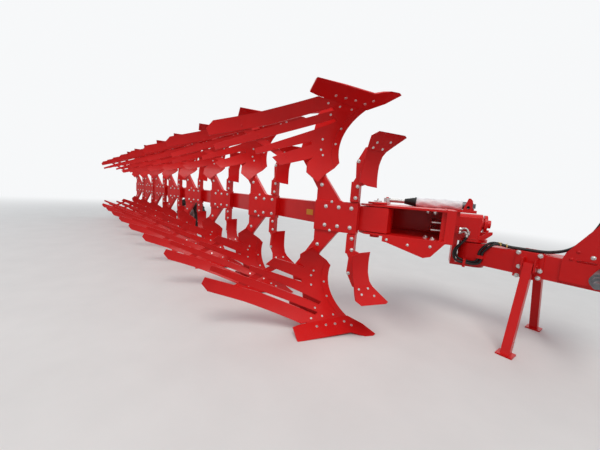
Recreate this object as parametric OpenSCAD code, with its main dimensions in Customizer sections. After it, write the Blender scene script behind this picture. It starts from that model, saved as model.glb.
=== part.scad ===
/* [Row of bodies] */
// Distance from one body to the next, measured along the beam
body_pitch = 1000; // [950:10:1050]
// Furrow width, which is each body's step to the left
furrow_w = 390; // [370:5:400]
// Height of the middle line between lower and upper bodies
mid_z = 880; // [870:1:890]

/* [Beam] */
// Side of the square beam
beam_side = 180; // [170:1:190]
// Wall of the beam
beam_wall = 10; // [6:1:14]
// Gap across the row between the line of share points and the beam's middle
beam_setback = -38; // [-40:1:-36]
// How far the beam runs on behind the last share point
beam_overhang = 600; // [560:10:700]
// Where the beam starts, behind the first share point
beam_start = 260; // [255:1:270]

/* [Shares] */
// Angle of the share's cutting line to the direction of travel
cut_angle = 42; // [42:1:42]
// Slope of the share plate
share_slope = 30; // [28:1:32]
// Thickness of the share plate
share_t = 12; // [8:1:14]

/* [Moldboards] */
// Radius of the face's hollow
board_r = 420; // [415:1:425]
// Height of the hollow's axis
board_axis_z = 390; // [388:1:392]
// Thickness of the slats
board_t = 10; // [8:1:12]
// Width of the shin strip, measured across the direction of travel
shin_w = 38; // [30:1:38]
// Open seam between the shin strip and the slats
seam = 2; // [1:0.5:3]
// Width of the strip that ties the slats behind
tie_w = 45; // [35:1:55]
// Thickness of the strip that ties the slats behind
tie_t = 8; // [6:1:10]

/* [Legs] */
// Thickness of the leg plate
leg_t = 40; // [36:1:44]
// Near face of the leg plate, to the right of the share point
leg_y = -108; // [-110:1:-106]
// Thickness of the two plates that hold the leg
cheek_t = 12; // [10:1:14]
// Height of the two plates that hold the leg
cheek_h = 224; // [210:2:240]
// Thickness of the frog between leg and landside
frog_t = 48; // [48:1:48]
// Thickness of the landside bar
landside_t = 14; // [10:1:16]
// Height of the landside bar
landside_h = 90; // [70:5:100]

/* [Skimmers] */
// Radius of the skimmer's face
skim_r = 370; // [365:1:375]
// Thickness of the skimmer's face
skim_t = 8; // [6:1:10]
// Thickness of the small share in front of the skimmer's lower edge
skim_share_t = 6; // [5:0.5:8]
// Height of the skimmer's cutting edge
skim_z = 303; // [298:1:308]
// Height of the skimmer's top
skim_top = 653; // [643:1:660]
// Width of the upright that carries both skimmers
skim_bar_w = 60; // [50:2:60]
// Height of that upright
skim_bar_h = 496; // [480:4:520]

/* [Head] */
// Radius of the pin that the beam swings on
align_pin_r = 35; // [30:1:38]
// Thickness of the head's top and bottom plates
head_plate_t = 15; // [12:1:18]
// Gap between the beam head and the head's plates
head_gap = 6; // [5:0.5:7]
// Radius of the turnover shaft
turn_shaft_r = 50; // [45:1:55]
// Radius of the line-up cylinder's barrel
align_barrel_r = 30; // [26:1:32]
// Length of the line-up cylinder's barrel
align_barrel_len = 400; // [380:5:410]
// Radius of the line-up cylinder's rod
align_rod_r = 18; // [14:1:20]

/* [Drawbar] */
// Angle of the drawbar to the direction of travel, to the right
drawbar_yaw = 26; // [26:1:26]
// Width of the drawbar
drawbar_w = 220; // [210:2:230]
// Height of the drawbar
drawbar_h = 172; // [168:1:176]
// Height of the drawbar's underside
drawbar_z = 540; // [538:1:542]
// Radius of the upright pin at the drawbar's rear end
steer_pin_r = 40; // [35:1:45]
// Thickness of the two mast plates
mast_t = 16; // [12:1:20]
// Distance between the shoulders of the lower link pins
link_spread = 965; // [965:1:965]
// Radius of the lower link pins
link_pin_r = 18.3; // [18.3:0.1:18.3]
// Height of the top link hole above the lower link pins
mast_height = 685; // [660:5:700]
// Radius of the top link hole
top_link_r = 16; // [16:0.1:16.2]
// Gap for the top link's ball
top_link_gap = 54; // [52:1:58]

/* [Stands] */
// Side of the square stand leg
stand_side = 55; // [50:1:60]
// Lean of the stand leg to its side
stand_lean = 19; // [19:1:19]
// Radius of the stand's hinge pin
stand_pin_r = 12; // [10:0.5:14]

/* [Depth wheel] */
// Radius of the tyre
tyre_r = 370; // [360:1:370]
// Width of the tyre
tyre_w = 240; // [220:5:240]
// Radius of the rim
rim_r = 200; // [190:5:210]
// Radius of the wheel arm's hinge pin
wheel_pin_r = 25; // [20:1:28]
// Radius of the wheel's axle
axle_r = 22; // [18:1:24]

/* [Hoses] */
// Radius of the hydraulic hoses
hose_r = 10; // [8:0.5:10]
// Radius of the steel pipes in the head
pipe_r = 9; // [7:0.5:10]

/* [Hidden] */
$fn = 64;
body_count = 8;
red = [0.72, 0.07, 0.07];
dark_red = [0.55, 0.06, 0.07];
steel = [0.6, 0.6, 0.62];
pale = [0.85, 0.85, 0.82];
black = [0.08, 0.08, 0.08];

// Middle of the parked plough's outer box, seen from the first share point
box_mid_x = -2982.5;
box_mid_y = 1180.4;

// Running clearance of pins in their bores, and of plain faces that pass
pin_fit = 0.1;

// The beam's line leans back to the left by this angle
row_angle = asin(furrow_w / body_pitch);
body_step_x = -body_pitch * cos(row_angle);
beam_near_k = beam_setback - beam_side / 2;
beam_far_k = beam_setback + beam_side / 2;
beam_bottom = mid_z - beam_side / 2;
beam_top = mid_z + beam_side / 2;
// The beam's near face at a given x, in the first body's frame
function beam_near_y(x) = (beam_near_k - x * sin(row_angle)) / cos(row_angle);

// The face starts at the share's upper edge, at this place across the cutting line and this height
board_foot = [157, 91];
board_axis_y = board_foot[0] - sqrt(pow(board_r, 2) - pow(board_axis_z - board_foot[1], 2));

leg_far_y = leg_y + leg_t;
cheek_low = mid_z - cheek_h / 2;
cheek_front = -200;
cheek_rear = -531;
// The far plate stops short of the beam's near face
cheek_far_y = leg_far_y + cheek_t;
cheek_far_front = min(cheek_front, (beam_near_k - cheek_far_y * cos(row_angle)) / sin(row_angle) - 1);
frog_far_y = leg_far_y + frog_t;

// Outlines on the slatted face, as [along the cutting line, height]
breast = [[-556, 45], [-60, 45], [-60, 472], [-300, 472], [-345, 520], [-433, 582], [-491, 637],
    [-571, 571], [-564, 500], [-500, 436], [-531, 358], [-534, 337], [-372, 187], [-392, 168],
    [-412, 122], [-436, 107]];
slats = [
    [[-560, 66], [-985, 212], [-1240, 286], [-1283, 340], [-1262, 385], [-862, 266], [-436, 107],
        [-400, 80]],
    [[-412, 122], [-530, 163], [-903, 296], [-1233, 440], [-1218, 476], [-473, 201], [-392, 168],
        [-360, 140]],
    [[-372, 187], [-546, 263], [-954, 437], [-943, 475], [-534, 337], [-480, 300], [-360, 250]],
    [[-531, 358], [-741, 444], [-828, 483], [-771, 538], [-547, 469], [-449, 416], [-440, 370]]
];
// The strip behind the slats runs between these two places on the face
tie_from = [-1085, 276];
tie_to = [-700, 492];

// Share outline, as [along the cutting line, up the slope]
share_outline = [[4, 17], [-69, 109], [-170, 188], [-285, 173], [-567, 137], [-630, 118], [-616, 0],
    [-186, 44], [-86, 0], [-22, 0]];
// All that lies in front of the share's upper edge, where the face butts on it
share_reach = [[-170, 188], [-285, 173], [-567, 137], [-567, -100], [300, -100], [300, 188]];

// Plate outlines seen from the side, as [forward, height]
leg_outline = [[-528, 872], [-275, 872], [-275, 790], [-348, 755], [-475, 585], [-560, 430],
    [-600, 330], [-680, 330], [-704, 420], [-634, 518], [-528, 680]];
frog_outline = [[-110, 14], [-480, 14], [-590, 120], [-630, 330], [-690, 450], [-640, 490],
    [-350, 490], [-300, 300], [-200, 110]];
landside_front = -310;
landside_rear = -750;

skim_x = 70;
skim_y = -100;
// Outline of the skimmer's face, as [along its cutting line, height]
skim_outline = [[5, skim_z + 15], [-88, skim_z + 104], [-108, skim_z + 139], [-117, 500],
    [-118, skim_top], [-190, skim_top - 8], [-250, skim_top - 31], [-239, 502], [-233, 410],
    [-241, skim_z + 22], [-210, skim_z], [-16, skim_z + 5]];
skim_share_top = skim_z + 105;
skim_axis_z = 570;
skim_axis_y = 110 - skim_r;
skim_bar_x = -262;
skim_stem_t = 20;
skim_stem = [[-262, 620], [-262, 762], [-202, 762], [-202, 650], [-60, 600], [-20, 440], [-130, 370],
    [-186, 382], [-240, 483], [-234, 590], [-250, 619]];

// The beam's pin, and both ends of the line-up cylinder, in plan
align_pin = [-100, 60];
align_rod_eye = [-100, 500];
align_barrel_eye = [545, 500];
align_z = mid_z + 148;
head_in_low = mid_z - beam_side / 2 - head_gap;
head_in_high = mid_z + beam_side / 2 + head_gap;
head_low = head_in_low - head_plate_t;
head_high = head_in_high + head_plate_t;
head_rear = -220;
head_near = -40;
head_left = 930;
head_corner = [head_rear, 330];
// The slanted rear edge of the head's plates
function head_edge_x(y) = head_corner[0]
    + (y - head_corner[1]) * (240 - head_corner[0]) / (head_left - head_corner[1]);
flange_x = 365;
flange_t = 55;
flange_front = flange_x + flange_t;
arm_t = 14;
arm_low = head_high + 3;
eye_r = 30;
eye_h = 36;
eye_pin_r = 12;
// The rod's eye is the one open pivot of the line-up linkage, and its bore takes up the linkage's arc
open_pivot_gap = 2.3;

// The turnover axis runs forward at this place across and at mid_z
turn_y = 800;
housing_rear = 445;
housing_front = 640;
housing_w = 200;
housing_top = mid_z + 52;
shaft_flange_r = 75;

// The drawbar's upright pin, in plan
steer_at = [630, 800];
drawbar_top = drawbar_z + drawbar_h;
fork_gap = 10;
fork_t = 25;
fork_back_x = 462;
fork_back_t = 38;
drawbar_len = 880;

// Mast plate outline, as [along the drawbar, height]
link_s = 810;
link_z = 655;
top_link_s = 880;
mast_outline = [[600, 560], [900, 560], [905, 760], [945, 1200], [945, 1390], [905, 1420],
    [850, 1420], [800, 1370], [800, 1130], [743, 963], [616, 764], [600, 712]];
mast_in = drawbar_w / 2;
link_shaft_r = 32;
link_pin_len = 95;

stand_s = 437;
stand_hinge_n = 160;
// The leg's reach above its hinge
stand_head = 12;
stand_hinge_z = 630;
clamp_t = 12;

// Middle lines of the hoses. The first two stay on the drawbar and are points of its own frame, from
// a clip near the steering pin to the couplings in the mast; the other two hang on the housing.
hose_sides = 10;
hose_clip = [84, -138, 598];
hose_clip_size = [50, 38, 27];
hose_clip_top = hose_clip[2] + hose_clip_size[2];
coupling_s = 810;
coupling_z = 1110;
near_route = [[120, -125, hose_clip_top], [120, -125, 640], [126, -125, 658], [138, -125, 677],
    [153, -124, 697], [170, -121, 718], [190, -110, 734], [215, -91, 737], [247, -72, 732],
    [290, -54, drawbar_top + 13], [350, -38, drawbar_top + 12], [420, -32, drawbar_top + 11],
    [490, -32, drawbar_top + 14], [550, -32, 740], [600, -32, 763], [645, -32, 801],
    [685, -33, 849], [715, -35, 905], [738, -37, 963], [756, -38, 1022], [770, -39, 1067],
    [783, -40, 1098], [797, -40, coupling_z], [coupling_s, -40, coupling_z]];
far_route = [[97, -125, hose_clip_top], [97, -125, 640], [102, -125, 661], [114, -125, 685],
    [130, -123, 708], [149, -115, 729], [170, -101, 743], [196, -77, 744], [228, -50, 736],
    [270, -24, drawbar_top + 13], [330, -4, drawbar_top + 12], [420, 8, drawbar_top + 11],
    [490, 14, drawbar_top + 14], [550, 18, 741], [600, 21, 763], [645, 24, 801],
    [685, 27, 849], [715, 31, 905], [738, 34, 963], [756, 37, 1022], [770, 39, 1067],
    [783, 40, 1098], [797, 40, coupling_z], [coupling_s, 40, coupling_z]];
manifold = [450, 672, 785];
manifold_size = [50, 30, 65];
manifold_front = manifold[0] + manifold_size[0];
loop_clip_x = 555;
loop_clip_y = 641;
loop_clip_t = 20;
loop_near = [[manifold_front, 684, 795], [512, 684, 795], [530, 676, 801], [546, 666, 800],
    [556, 661, 787], [556, 659, 765], [548, 657, 738], [530, 655, 710], [506, 655, 682],
    [486, 655, 650], [478, 654, 615], [485, 654, 580], [503, 654, 555], [528, 654, 545],
    [loop_clip_x, 654, 545]];
loop_far = [[manifold_front, 686, 825], [512, 686, 825], [530, 685, 832], [547, 683, 833],
    [560, 682, 824], [568, 682, 806], [569, 682, 782], [562, 682, 754], [547, 682, 726],
    [527, 682, 698], [508, 682, 666], [498, 682, 632], [500, 681, 598], [512, 680, 572],
    [531, 679, 560], [loop_clip_x, 679, 560]];

// Steel pipes in the head: the place of their bend, and the back wall that they end on
pipe_bend = [285, 100];
inner_wall_y = 520;

// The depth wheel's arm hinges beside the beam at this place along it, and the hub trails behind
wheel_s = -4670;
wheel_post_reach = 285;
wheel_arm_back = 550;
wheel_hub_out = 260;
wheel_arm_t = 50;
function beam_point(s, k) = [s * cos(row_angle) + k * sin(row_angle),
    -s * sin(row_angle) + k * cos(row_angle)];
wheel_post_end = beam_point(wheel_s, beam_far_k + wheel_post_reach);
wheel_pivot = [wheel_post_end[0] + 1.8, wheel_post_end[1] + 58.4, mid_z];
hub = [wheel_pivot[0] - wheel_arm_back, wheel_pivot[1] + wheel_hub_out, tyre_r];

// Puts the first share point's frame into the frame of the whole plough
module placed() {
    translate([-box_mid_x, -box_mid_y, 0])
        children();
}

// Moves to body number n, the first being 1
module at_body(n) {
    translate([(n - 1) * body_step_x, (n - 1) * furrow_w, 0])
        children();
}

// Shows the children below and, mirrored about the middle line, above
module both() {
    children();
    translate([0, 0, 2 * mid_z])
        mirror([0, 0, 1])
            children();
}

// A plate that stands along the direction of travel, from an outline of [forward, height]
module side_plate(y_right, y_left) {
    translate([0, y_left, 0])
        rotate([90, 0, 0])
            linear_extrude(y_left - y_right)
                children();
}

// Turns to the cutting line, with x along it
module cut_frame() {
    rotate([0, 0, cut_angle])
        children();
}

// Turns to the beam's line, with x forward along it
module beam_frame() {
    rotate([0, 0, -row_angle])
        children();
}

// Turns to the drawbar, with x forward along it from its upright pin
module drawbar_frame() {
    translate([steer_at[0], steer_at[1], 0])
        rotate([0, 0, -drawbar_yaw])
            children();
}

module rod_x(r, x0, x1) {
    translate([x0, 0, 0])
        rotate([0, 90, 0])
            cylinder(h = x1 - x0, r = r, $fn = r > 200 ? 240 : 64);
}

module rod_y(r, y0, y1) {
    translate([0, y1, 0])
        rotate([90, 0, 0])
            cylinder(h = y1 - y0, r = r);
}

// A round tube along a route of points, closed at both ends
function unit(v) = v / norm(v);
function way(route, i) = unit(route[min(i + 1, len(route) - 1)] - route[max(i - 1, 0)]);
function ring(route, r, i) = let (t = way(route, i), a = unit(cross(t, [0, 1, 0])), b = cross(a, t))
    [for (j = [0 : hose_sides - 1])
        let (turn = 360 * j / hose_sides) route[i] + r * (cos(turn) * a + sin(turn) * b)];

module tube(route, r) {
    n = hose_sides;
    last = len(route) - 1;
    polyhedron(
        points = [for (i = [0 : last]) each ring(route, r, i)],
        faces = [
            for (i = [0 : last - 1], j = [0 : n - 1])
                let (k = (j + 1) % n) each [[n * i + j, n * i + k, n * i + n + j],
                    [n * i + k, n * i + n + k, n * i + n + j]],
            [for (j = [0 : n - 1]) n - 1 - j],
            [for (j = [0 : n - 1]) n * last + j]
        ]);
}

// The round hollow of the face, grown by the given amount
module face_hollow(grow) {
    cut_frame()
        translate([0, board_axis_y, board_axis_z])
            rod_x(board_r + grow, -1500, 200);
}

module face_shell(from, thick) {
    difference() {
        translate([0, board_axis_y, board_axis_z])
            rod_x(board_r + from + thick, -1400, 100);
        translate([0, board_axis_y, board_axis_z])
            rod_x(board_r + from, -1450, 150);
    }
}

// Slats, breast and shin strip, cut from one rolled shell
module slatted_face() {
    difference() {
        cut_frame()
            intersection() {
                face_shell(0, board_t);
                side_plate(20, 400)
                    union() {
                        polygon(breast);
                        for (s = slats)
                            polygon(s);
                    }
            }
        translate([-1000, 0, 0])
            cube([1500, 500, 1000]);
        translate([-1000, -shin_w - seam, 0])
            cube([1500, seam, 1000]);
        share_plane()
            translate([0, 0, -60])
                linear_extrude(120)
                    polygon(share_reach);
    }
}

// The strip behind the slats that ties their ends together
module slat_tie() {
    run = [tie_to[0] - tie_from[0], tie_to[1] - tie_from[1]];
    cut_frame()
        intersection() {
            face_shell(board_t - 1, tie_t);
            side_plate(100, 400)
                translate(tie_from)
                    rotate([0, 0, atan2(run[1], run[0])])
                        translate([0, -tie_w / 2])
                            square([norm(run), tie_w]);
        }
}

// The frog, which stands behind the face beside the leg and carries it
module frog() {
    difference() {
        side_plate(leg_far_y, frog_far_y)
            polygon(frog_outline);
        face_hollow(board_t / 2);
        share_slab(share_t);
    }
}

// Turns to the share's upper face, with x along the cutting line and y up the slope
module share_plane() {
    cut_frame()
        rotate([share_slope, 0, 0])
            children();
}

// All that lies above the share plate's back, for fitting what carries it
module share_slab(depth) {
    share_plane()
        translate([-800, -200, -depth])
            cube([1000, 400, 400]);
}

module moldboard() {
    color(red)
        union() {
            slatted_face();
            slat_tie();
            frog();
        }
}

module share() {
    color(red)
        intersection() {
            share_plane()
                translate([0, 0, -share_t])
                    linear_extrude(share_t)
                        polygon(share_outline);
            translate([-800, -800, 0])
                cube([1000, 1000, 300]);
        }
}

module leg() {
    color(red)
        difference() {
            side_plate(leg_y, leg_far_y)
                polygon(leg_outline);
            face_hollow(board_t + 1);
        }
}

module landside() {
    color(dark_red)
        side_plate(frog_far_y, frog_far_y + landside_t)
            polygon([[landside_front, 30], [landside_front - 25, 5], [landside_rear, 5],
                [landside_rear, 5 + landside_h], [landside_front, 5 + landside_h]]);
}

module skim_hollow(grow) {
    translate([skim_x, skim_y, 0])
        cut_frame()
            translate([0, skim_axis_y, skim_axis_z])
                rod_x(skim_r + grow, -500, 200);
}

// The part of the skimmer's face between two depths, measured behind it, and up to a height
module skim_layer(front, back, high) {
    difference() {
        intersection() {
            skim_hollow(back);
            translate([skim_x, skim_y, 0])
                cut_frame()
                    side_plate(-60, 200)
                        intersection() {
                            polygon(skim_outline);
                            translate([-400, 0])
                                square([500, high]);
                        }
        }
        skim_hollow(front);
    }
}

// One skimmer: its small rolled face, the share in front of its lower edge and the stem behind it
module skimmer() {
    skim_layer(0, skim_t, skim_top);
    skim_layer(-skim_share_t, 1, skim_share_top);
    difference() {
        side_plate(leg_y - skim_stem_t, leg_y)
            polygon(skim_stem);
        skim_hollow(skim_t / 2);
    }
}

module skimmer_pair() {
    color(red)
        union() {
            both()
                skimmer();
            translate([skim_bar_x, leg_y, mid_z - skim_bar_h / 2])
                cube([skim_bar_w, leg_t, skim_bar_h]);
        }
}

// The two plates that hold leg and upright, the far one gusseted to the beam
module leg_bracket() {
    rim = 12;
    corner = beam_near_y(cheek_rear);
    side_plate(leg_y - cheek_t, leg_y)
        translate([cheek_rear, cheek_low])
            square([cheek_front - cheek_rear, cheek_h]);
    side_plate(leg_far_y, cheek_far_y)
        translate([cheek_rear, cheek_low])
            square([cheek_far_front - cheek_rear, cheek_h]);
    for (z = [beam_bottom, beam_top - rim])
        translate([0, 0, z])
            linear_extrude(rim)
                polygon([[cheek_far_front, cheek_far_y], [cheek_rear, cheek_far_y],
                    [cheek_rear, corner]]);
    translate([cheek_rear, leg_far_y, beam_bottom])
        linear_extrude(beam_side)
            polygon([[0, 0], [rim, 0], [rim, beam_near_y(cheek_rear + rim) - leg_far_y],
                [0, corner - leg_far_y]]);
}

module leg_brackets() {
    color(dark_red)
        for (n = [1 : body_count])
            at_body(n)
                leg_bracket();
}

module landsides() {
    for (n = [1 : body_count])
        at_body(n)
            both()
                landside();
}

module beam() {
    length = (body_count - 1) * body_pitch + beam_overhang - beam_start;
    color(red)
        beam_frame()
            translate([-beam_start - length, beam_near_k, beam_bottom])
                difference() {
                    cube([length, beam_side, beam_side]);
                    translate([beam_wall, beam_wall, beam_wall])
                        cube([length, beam_side - 2 * beam_wall, beam_side - 2 * beam_wall]);
                }
}

// The beam's front block with its pin, and the arm that the line-up cylinder pushes
module beam_head() {
    near = [-beam_start * cos(row_angle) + beam_near_k * sin(row_angle),
        beam_start * sin(row_angle) + beam_near_k * cos(row_angle)];
    far = [-beam_start * cos(row_angle) + beam_far_k * sin(row_angle),
        beam_start * sin(row_angle) + beam_far_k * cos(row_angle)];
    color(red)
        union() {
            translate([0, 0, beam_bottom])
                linear_extrude(beam_side)
                    polygon([near, [-215, -38], [0, -38], [15, 30], [15, 100], [-30, 160],
                        [-120, 175], far]);
            translate([align_pin[0], align_pin[1], head_in_low + 1])
                cylinder(h = head_in_high - head_in_low - 2, r = 2 * align_pin_r);
            translate([align_pin[0], align_pin[1], head_low - 25])
                cylinder(h = arm_low + arm_t - head_low + 25, r = align_pin_r);
            translate([0, 0, arm_low])
                linear_extrude(arm_t)
                    union() {
                        translate(align_pin)
                            circle(r = 2 * align_pin_r);
                        polygon([align_pin + [-60, 0], align_pin + [60, 0],
                            align_rod_eye + [eye_r, 0], align_rod_eye - [eye_r, 0]]);
                        translate(align_rod_eye)
                            circle(r = eye_r);
                    }
            translate([align_rod_eye[0], align_rod_eye[1], arm_low])
                cylinder(h = align_z + eye_h / 2 + 8 - arm_low, r = eye_pin_r);
        }
}

// The box between beam and turnover shaft, open on its near side
module head_frame() {
    color(red)
        difference() {
            union() {
                for (z = [head_low, head_in_high])
                    translate([0, 0, z])
                        linear_extrude(head_plate_t)
                            polygon([[head_rear, 40], [head_rear + 60, head_near], [flange_x, head_near],
                                [flange_x, head_left], [head_edge_x(head_left), head_left], head_corner]);
                translate([flange_x, head_near, head_low])
                    cube([flange_t, head_left - head_near, head_high - head_low]);
                translate([0, 0, head_in_low])
                    linear_extrude(head_in_high - head_in_low)
                        polygon([head_corner, head_corner + [19, 0],
                            [head_edge_x(inner_wall_y) + 19, inner_wall_y],
                            [flange_x + 1, inner_wall_y], [flange_x + 1, inner_wall_y + 15],
                            [head_edge_x(inner_wall_y + 15), inner_wall_y + 15]]);
                translate([flange_x - 27, head_near + 30, head_in_low])
                    cube([28, 12, head_in_high - head_in_low]);
                side_plate(head_near - 15, head_near)
                    polygon([[-24, head_low + 5], [-24, head_low - 35], [4, head_low - 38],
                        [200, head_low - 95], [255, head_low - 110], [300, head_low - 95],
                        [377, head_low + 5]]);
                translate([-24, head_near - 15, head_low])
                    cube([401, 15, head_plate_t]);
                translate([0, turn_y, mid_z])
                    rod_x(2 * turn_shaft_r, flange_front - 10, flange_front + 15);
                translate([0, turn_y, mid_z])
                    rod_x(turn_shaft_r, flange_front - 10, 690);
                translate([0, turn_y, mid_z])
                    rod_x(shaft_flange_r, 684, 706);
                translate([0, turn_y, mid_z])
                    rod_x(35, 700, 735);
                barrel_seat();
            }
            translate([align_pin[0], align_pin[1], head_low - 50])
                cylinder(h = 400, r = align_pin_r + pin_fit);
        }
}

// The cantilevered seat for the line-up cylinder, with a lifting eye beside it
module barrel_seat() {
    seat_top = align_z - align_barrel_r - 3;
    seat_t = 22;
    lug_y = align_barrel_eye[1] - 64;
    lug_t = 14;
    translate([flange_x, lug_y, seat_top - seat_t])
        cube([align_barrel_eye[0] + 35 - flange_x, 105, seat_t]);
    translate([flange_front - 5, align_barrel_eye[1] - 40, head_high - 80])
        cube([60, 105, 80]);
    translate([align_barrel_eye[0], align_barrel_eye[1], seat_top - 5])
        cylinder(h = align_z - eye_h / 2 - 1 - seat_top + 5, r = 22);
    translate([align_barrel_eye[0], align_barrel_eye[1], seat_top - 5])
        cylinder(h = align_z + eye_h / 2 + 13 - seat_top, r = eye_pin_r);
    side_plate(lug_y, lug_y + lug_t)
        difference() {
            polygon([[480, seat_top - 20], [550, seat_top - 20], [546, seat_top + 73],
                [530, seat_top + 91], [516, seat_top + 91]]);
            translate([521, seat_top + 19])
                circle(r = 12);
        }
}

// Two steel pipes in the head, from the inner wall round a bend to the flange
module head_pipes() {
    color(steel)
        for (z = [mid_z - 38, mid_z + 17])
            translate([0, 0, z])
                union() {
                    translate([0, pipe_bend[1], 0])
                        rod_x(pipe_r, pipe_bend[0], flange_x);
                    translate(pipe_bend)
                        sphere(r = pipe_r);
                    translate([pipe_bend[0], 0, 0])
                        rod_y(pipe_r, pipe_bend[1], inner_wall_y);
                }
}

module align_eye(gap) {
    difference() {
        translate([0, 0, -eye_h / 2])
            cylinder(h = eye_h, r = eye_r);
        translate([0, 0, -eye_h])
            cylinder(h = 2 * eye_h, r = eye_pin_r + gap);
    }
}

module align_barrel() {
    color(pale)
        translate([align_barrel_eye[0], align_barrel_eye[1], align_z])
            union() {
                align_eye(pin_fit);
                difference() {
                    rod_x(align_barrel_r, -eye_r - align_barrel_len, -eye_r + 6);
                    rod_x(align_rod_r + pin_fit, -eye_r - align_barrel_len - 1, -eye_r - 20);
                    cylinder(h = 100, r = eye_pin_r + pin_fit, center = true);
                }
            }
}

module align_rod() {
    color(steel)
        translate([align_rod_eye[0], align_rod_eye[1], align_z])
            union() {
                align_eye(open_pivot_gap);
                rod_x(align_rod_r, eye_r - 8, align_barrel_eye[0] - align_rod_eye[0] - eye_r - 110);
            }
}

// Bearing of the turnover shaft, and the fork that takes the drawbar's rear end
module turnover_housing() {
    gusset_t = 15;
    gusset_z = drawbar_top + fork_gap + fork_t;
    color(red)
        difference() {
            union() {
                translate([0, turn_y, mid_z])
                    rod_x(80, housing_rear, housing_front + 30);
                translate([housing_rear, turn_y - housing_w / 2, drawbar_top + fork_gap])
                    cube([housing_front - housing_rear, housing_w, housing_top - drawbar_top - fork_gap]);
                translate([housing_front, turn_y - housing_w / 2 + 10, drawbar_top + fork_gap])
                    cube([20, housing_w - 20, housing_top - drawbar_top - fork_gap]);
                translate([fork_back_x, turn_y - housing_w / 2, drawbar_z - fork_gap - fork_t])
                    cube([fork_back_t, housing_w, housing_top - drawbar_z]);
                for (y = [turn_y - housing_w / 2, turn_y + housing_w / 2 - gusset_t])
                    side_plate(y, y + gusset_t)
                        polygon([[housing_front - 5, gusset_z], [housing_front + 50, gusset_z],
                            [housing_front + 105, gusset_z + 53], [housing_front + 105, gusset_z + 75],
                            [housing_front + 85, gusset_z + 75], [housing_front - 5, gusset_z + 15]]);
                translate(manifold)
                    cube(manifold_size);
                translate([loop_clip_x, loop_clip_y, drawbar_z - fork_gap - fork_t])
                    cube([loop_clip_t, turn_y - housing_w / 2 + 5 - loop_clip_y, fork_t]);
                translate([loop_clip_x, loop_clip_y, drawbar_z - fork_gap - 5])
                    cube([loop_clip_t, 50, 50]);
                for (z = [drawbar_z - fork_gap - fork_t, drawbar_top + fork_gap])
                    translate([0, 0, z])
                        linear_extrude(fork_t)
                            union() {
                                translate(steer_at)
                                    circle(r = housing_w / 2);
                                translate([fork_back_x, turn_y - housing_w / 2])
                                    square([steer_at[0] - fork_back_x, housing_w]);
                            }
            }
            translate([0, turn_y, mid_z])
                rod_x(turn_shaft_r + pin_fit, 400, 700);
            translate([steer_at[0], steer_at[1], drawbar_z - 100])
                cylinder(h = drawbar_h + 155, r = steer_pin_r + pin_fit);
        }
}

module drawbar_beam() {
    wall = 12;
    color(red)
        difference() {
            union() {
                drawbar_frame()
                    translate([0, 0, drawbar_z])
                        linear_extrude(drawbar_h)
                            union() {
                                circle(r = drawbar_w / 2);
                                translate([0, -drawbar_w / 2])
                                    square([drawbar_len, drawbar_w]);
                            }
                translate([steer_at[0], steer_at[1], drawbar_z - fork_gap - fork_t])
                    cylinder(h = drawbar_h + 2 * fork_gap + 2 * fork_t, r = steer_pin_r);
                translate([steer_at[0], steer_at[1], drawbar_z - fork_gap + 1])
                    cylinder(h = drawbar_h + 2 * fork_gap - 2, r = 1.5 * steer_pin_r);
                drawbar_frame()
                    translate(hose_clip)
                        cube(hose_clip_size);
            }
            drawbar_frame()
                translate([drawbar_w / 2 + 20, -drawbar_w / 2 + wall, drawbar_z + wall])
                    cube([drawbar_len, drawbar_w - 2 * wall, drawbar_h - 2 * wall]);
            drawbar_frame()
                translate([link_s, 0, link_z])
                    rod_y(link_shaft_r, -drawbar_w, drawbar_w);
        }
}

// Two side plates with a clevis for the top link between them
module mast_plates() {
    cheek = 18;
    shelf_z = link_z + mast_height - 130;
    slot = [719, 713];
    slot_r = 9;
    slot_run = 77;
    color(red)
        drawbar_frame()
            difference() {
                union() {
                    for (side = [-1, 1])
                        translate([0, side * (mast_in + mast_t / 2), 0])
                            side_plate(-mast_t / 2, mast_t / 2)
                                difference() {
                                    polygon(mast_outline);
                                    translate(slot - [slot_run / 2, slot_r])
                                        square([slot_run, 2 * slot_r]);
                                    for (end = [-1, 1])
                                        translate(slot + [end * slot_run / 2, 0])
                                            circle(r = slot_r);
                                }
                    translate([coupling_s + 25, -mast_in, coupling_z - 30])
                        cube([10, 2 * mast_in, 60]);
                    for (n = [-40, 40])
                        translate([0, n, coupling_z])
                            rod_x(1.5 * hose_r, coupling_s, coupling_s + 30);
                    translate([805, -mast_in, shelf_z])
                        cube([130, 2 * mast_in, 16]);
                    translate([805, -mast_in, shelf_z])
                        cube([16, 2 * mast_in, 190]);
                    for (side = [-1, 1])
                        translate([805, side * (top_link_gap / 2 + cheek / 2) - cheek / 2, shelf_z])
                            cube([130, cheek, 190]);
                }
                translate([top_link_s, 0, link_z + mast_height])
                    rod_y(top_link_r, -2 * mast_in, 2 * mast_in);
                translate([link_s, 0, link_z])
                    rod_y(link_shaft_r, -2 * mast_in, 2 * mast_in);
            }
}

module cross_shaft() {
    color(steel)
        drawbar_frame()
            translate([link_s, 0, link_z])
                union() {
                    rod_y(link_shaft_r, -link_spread / 2, link_spread / 2);
                    rod_y(link_pin_r, -link_spread / 2 - link_pin_len, link_spread / 2 + link_pin_len);
                    for (side = [-1, 1])
                        translate([0, side * 280, 0])
                            rod_y(45, -140, 140);
                }
}

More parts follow.
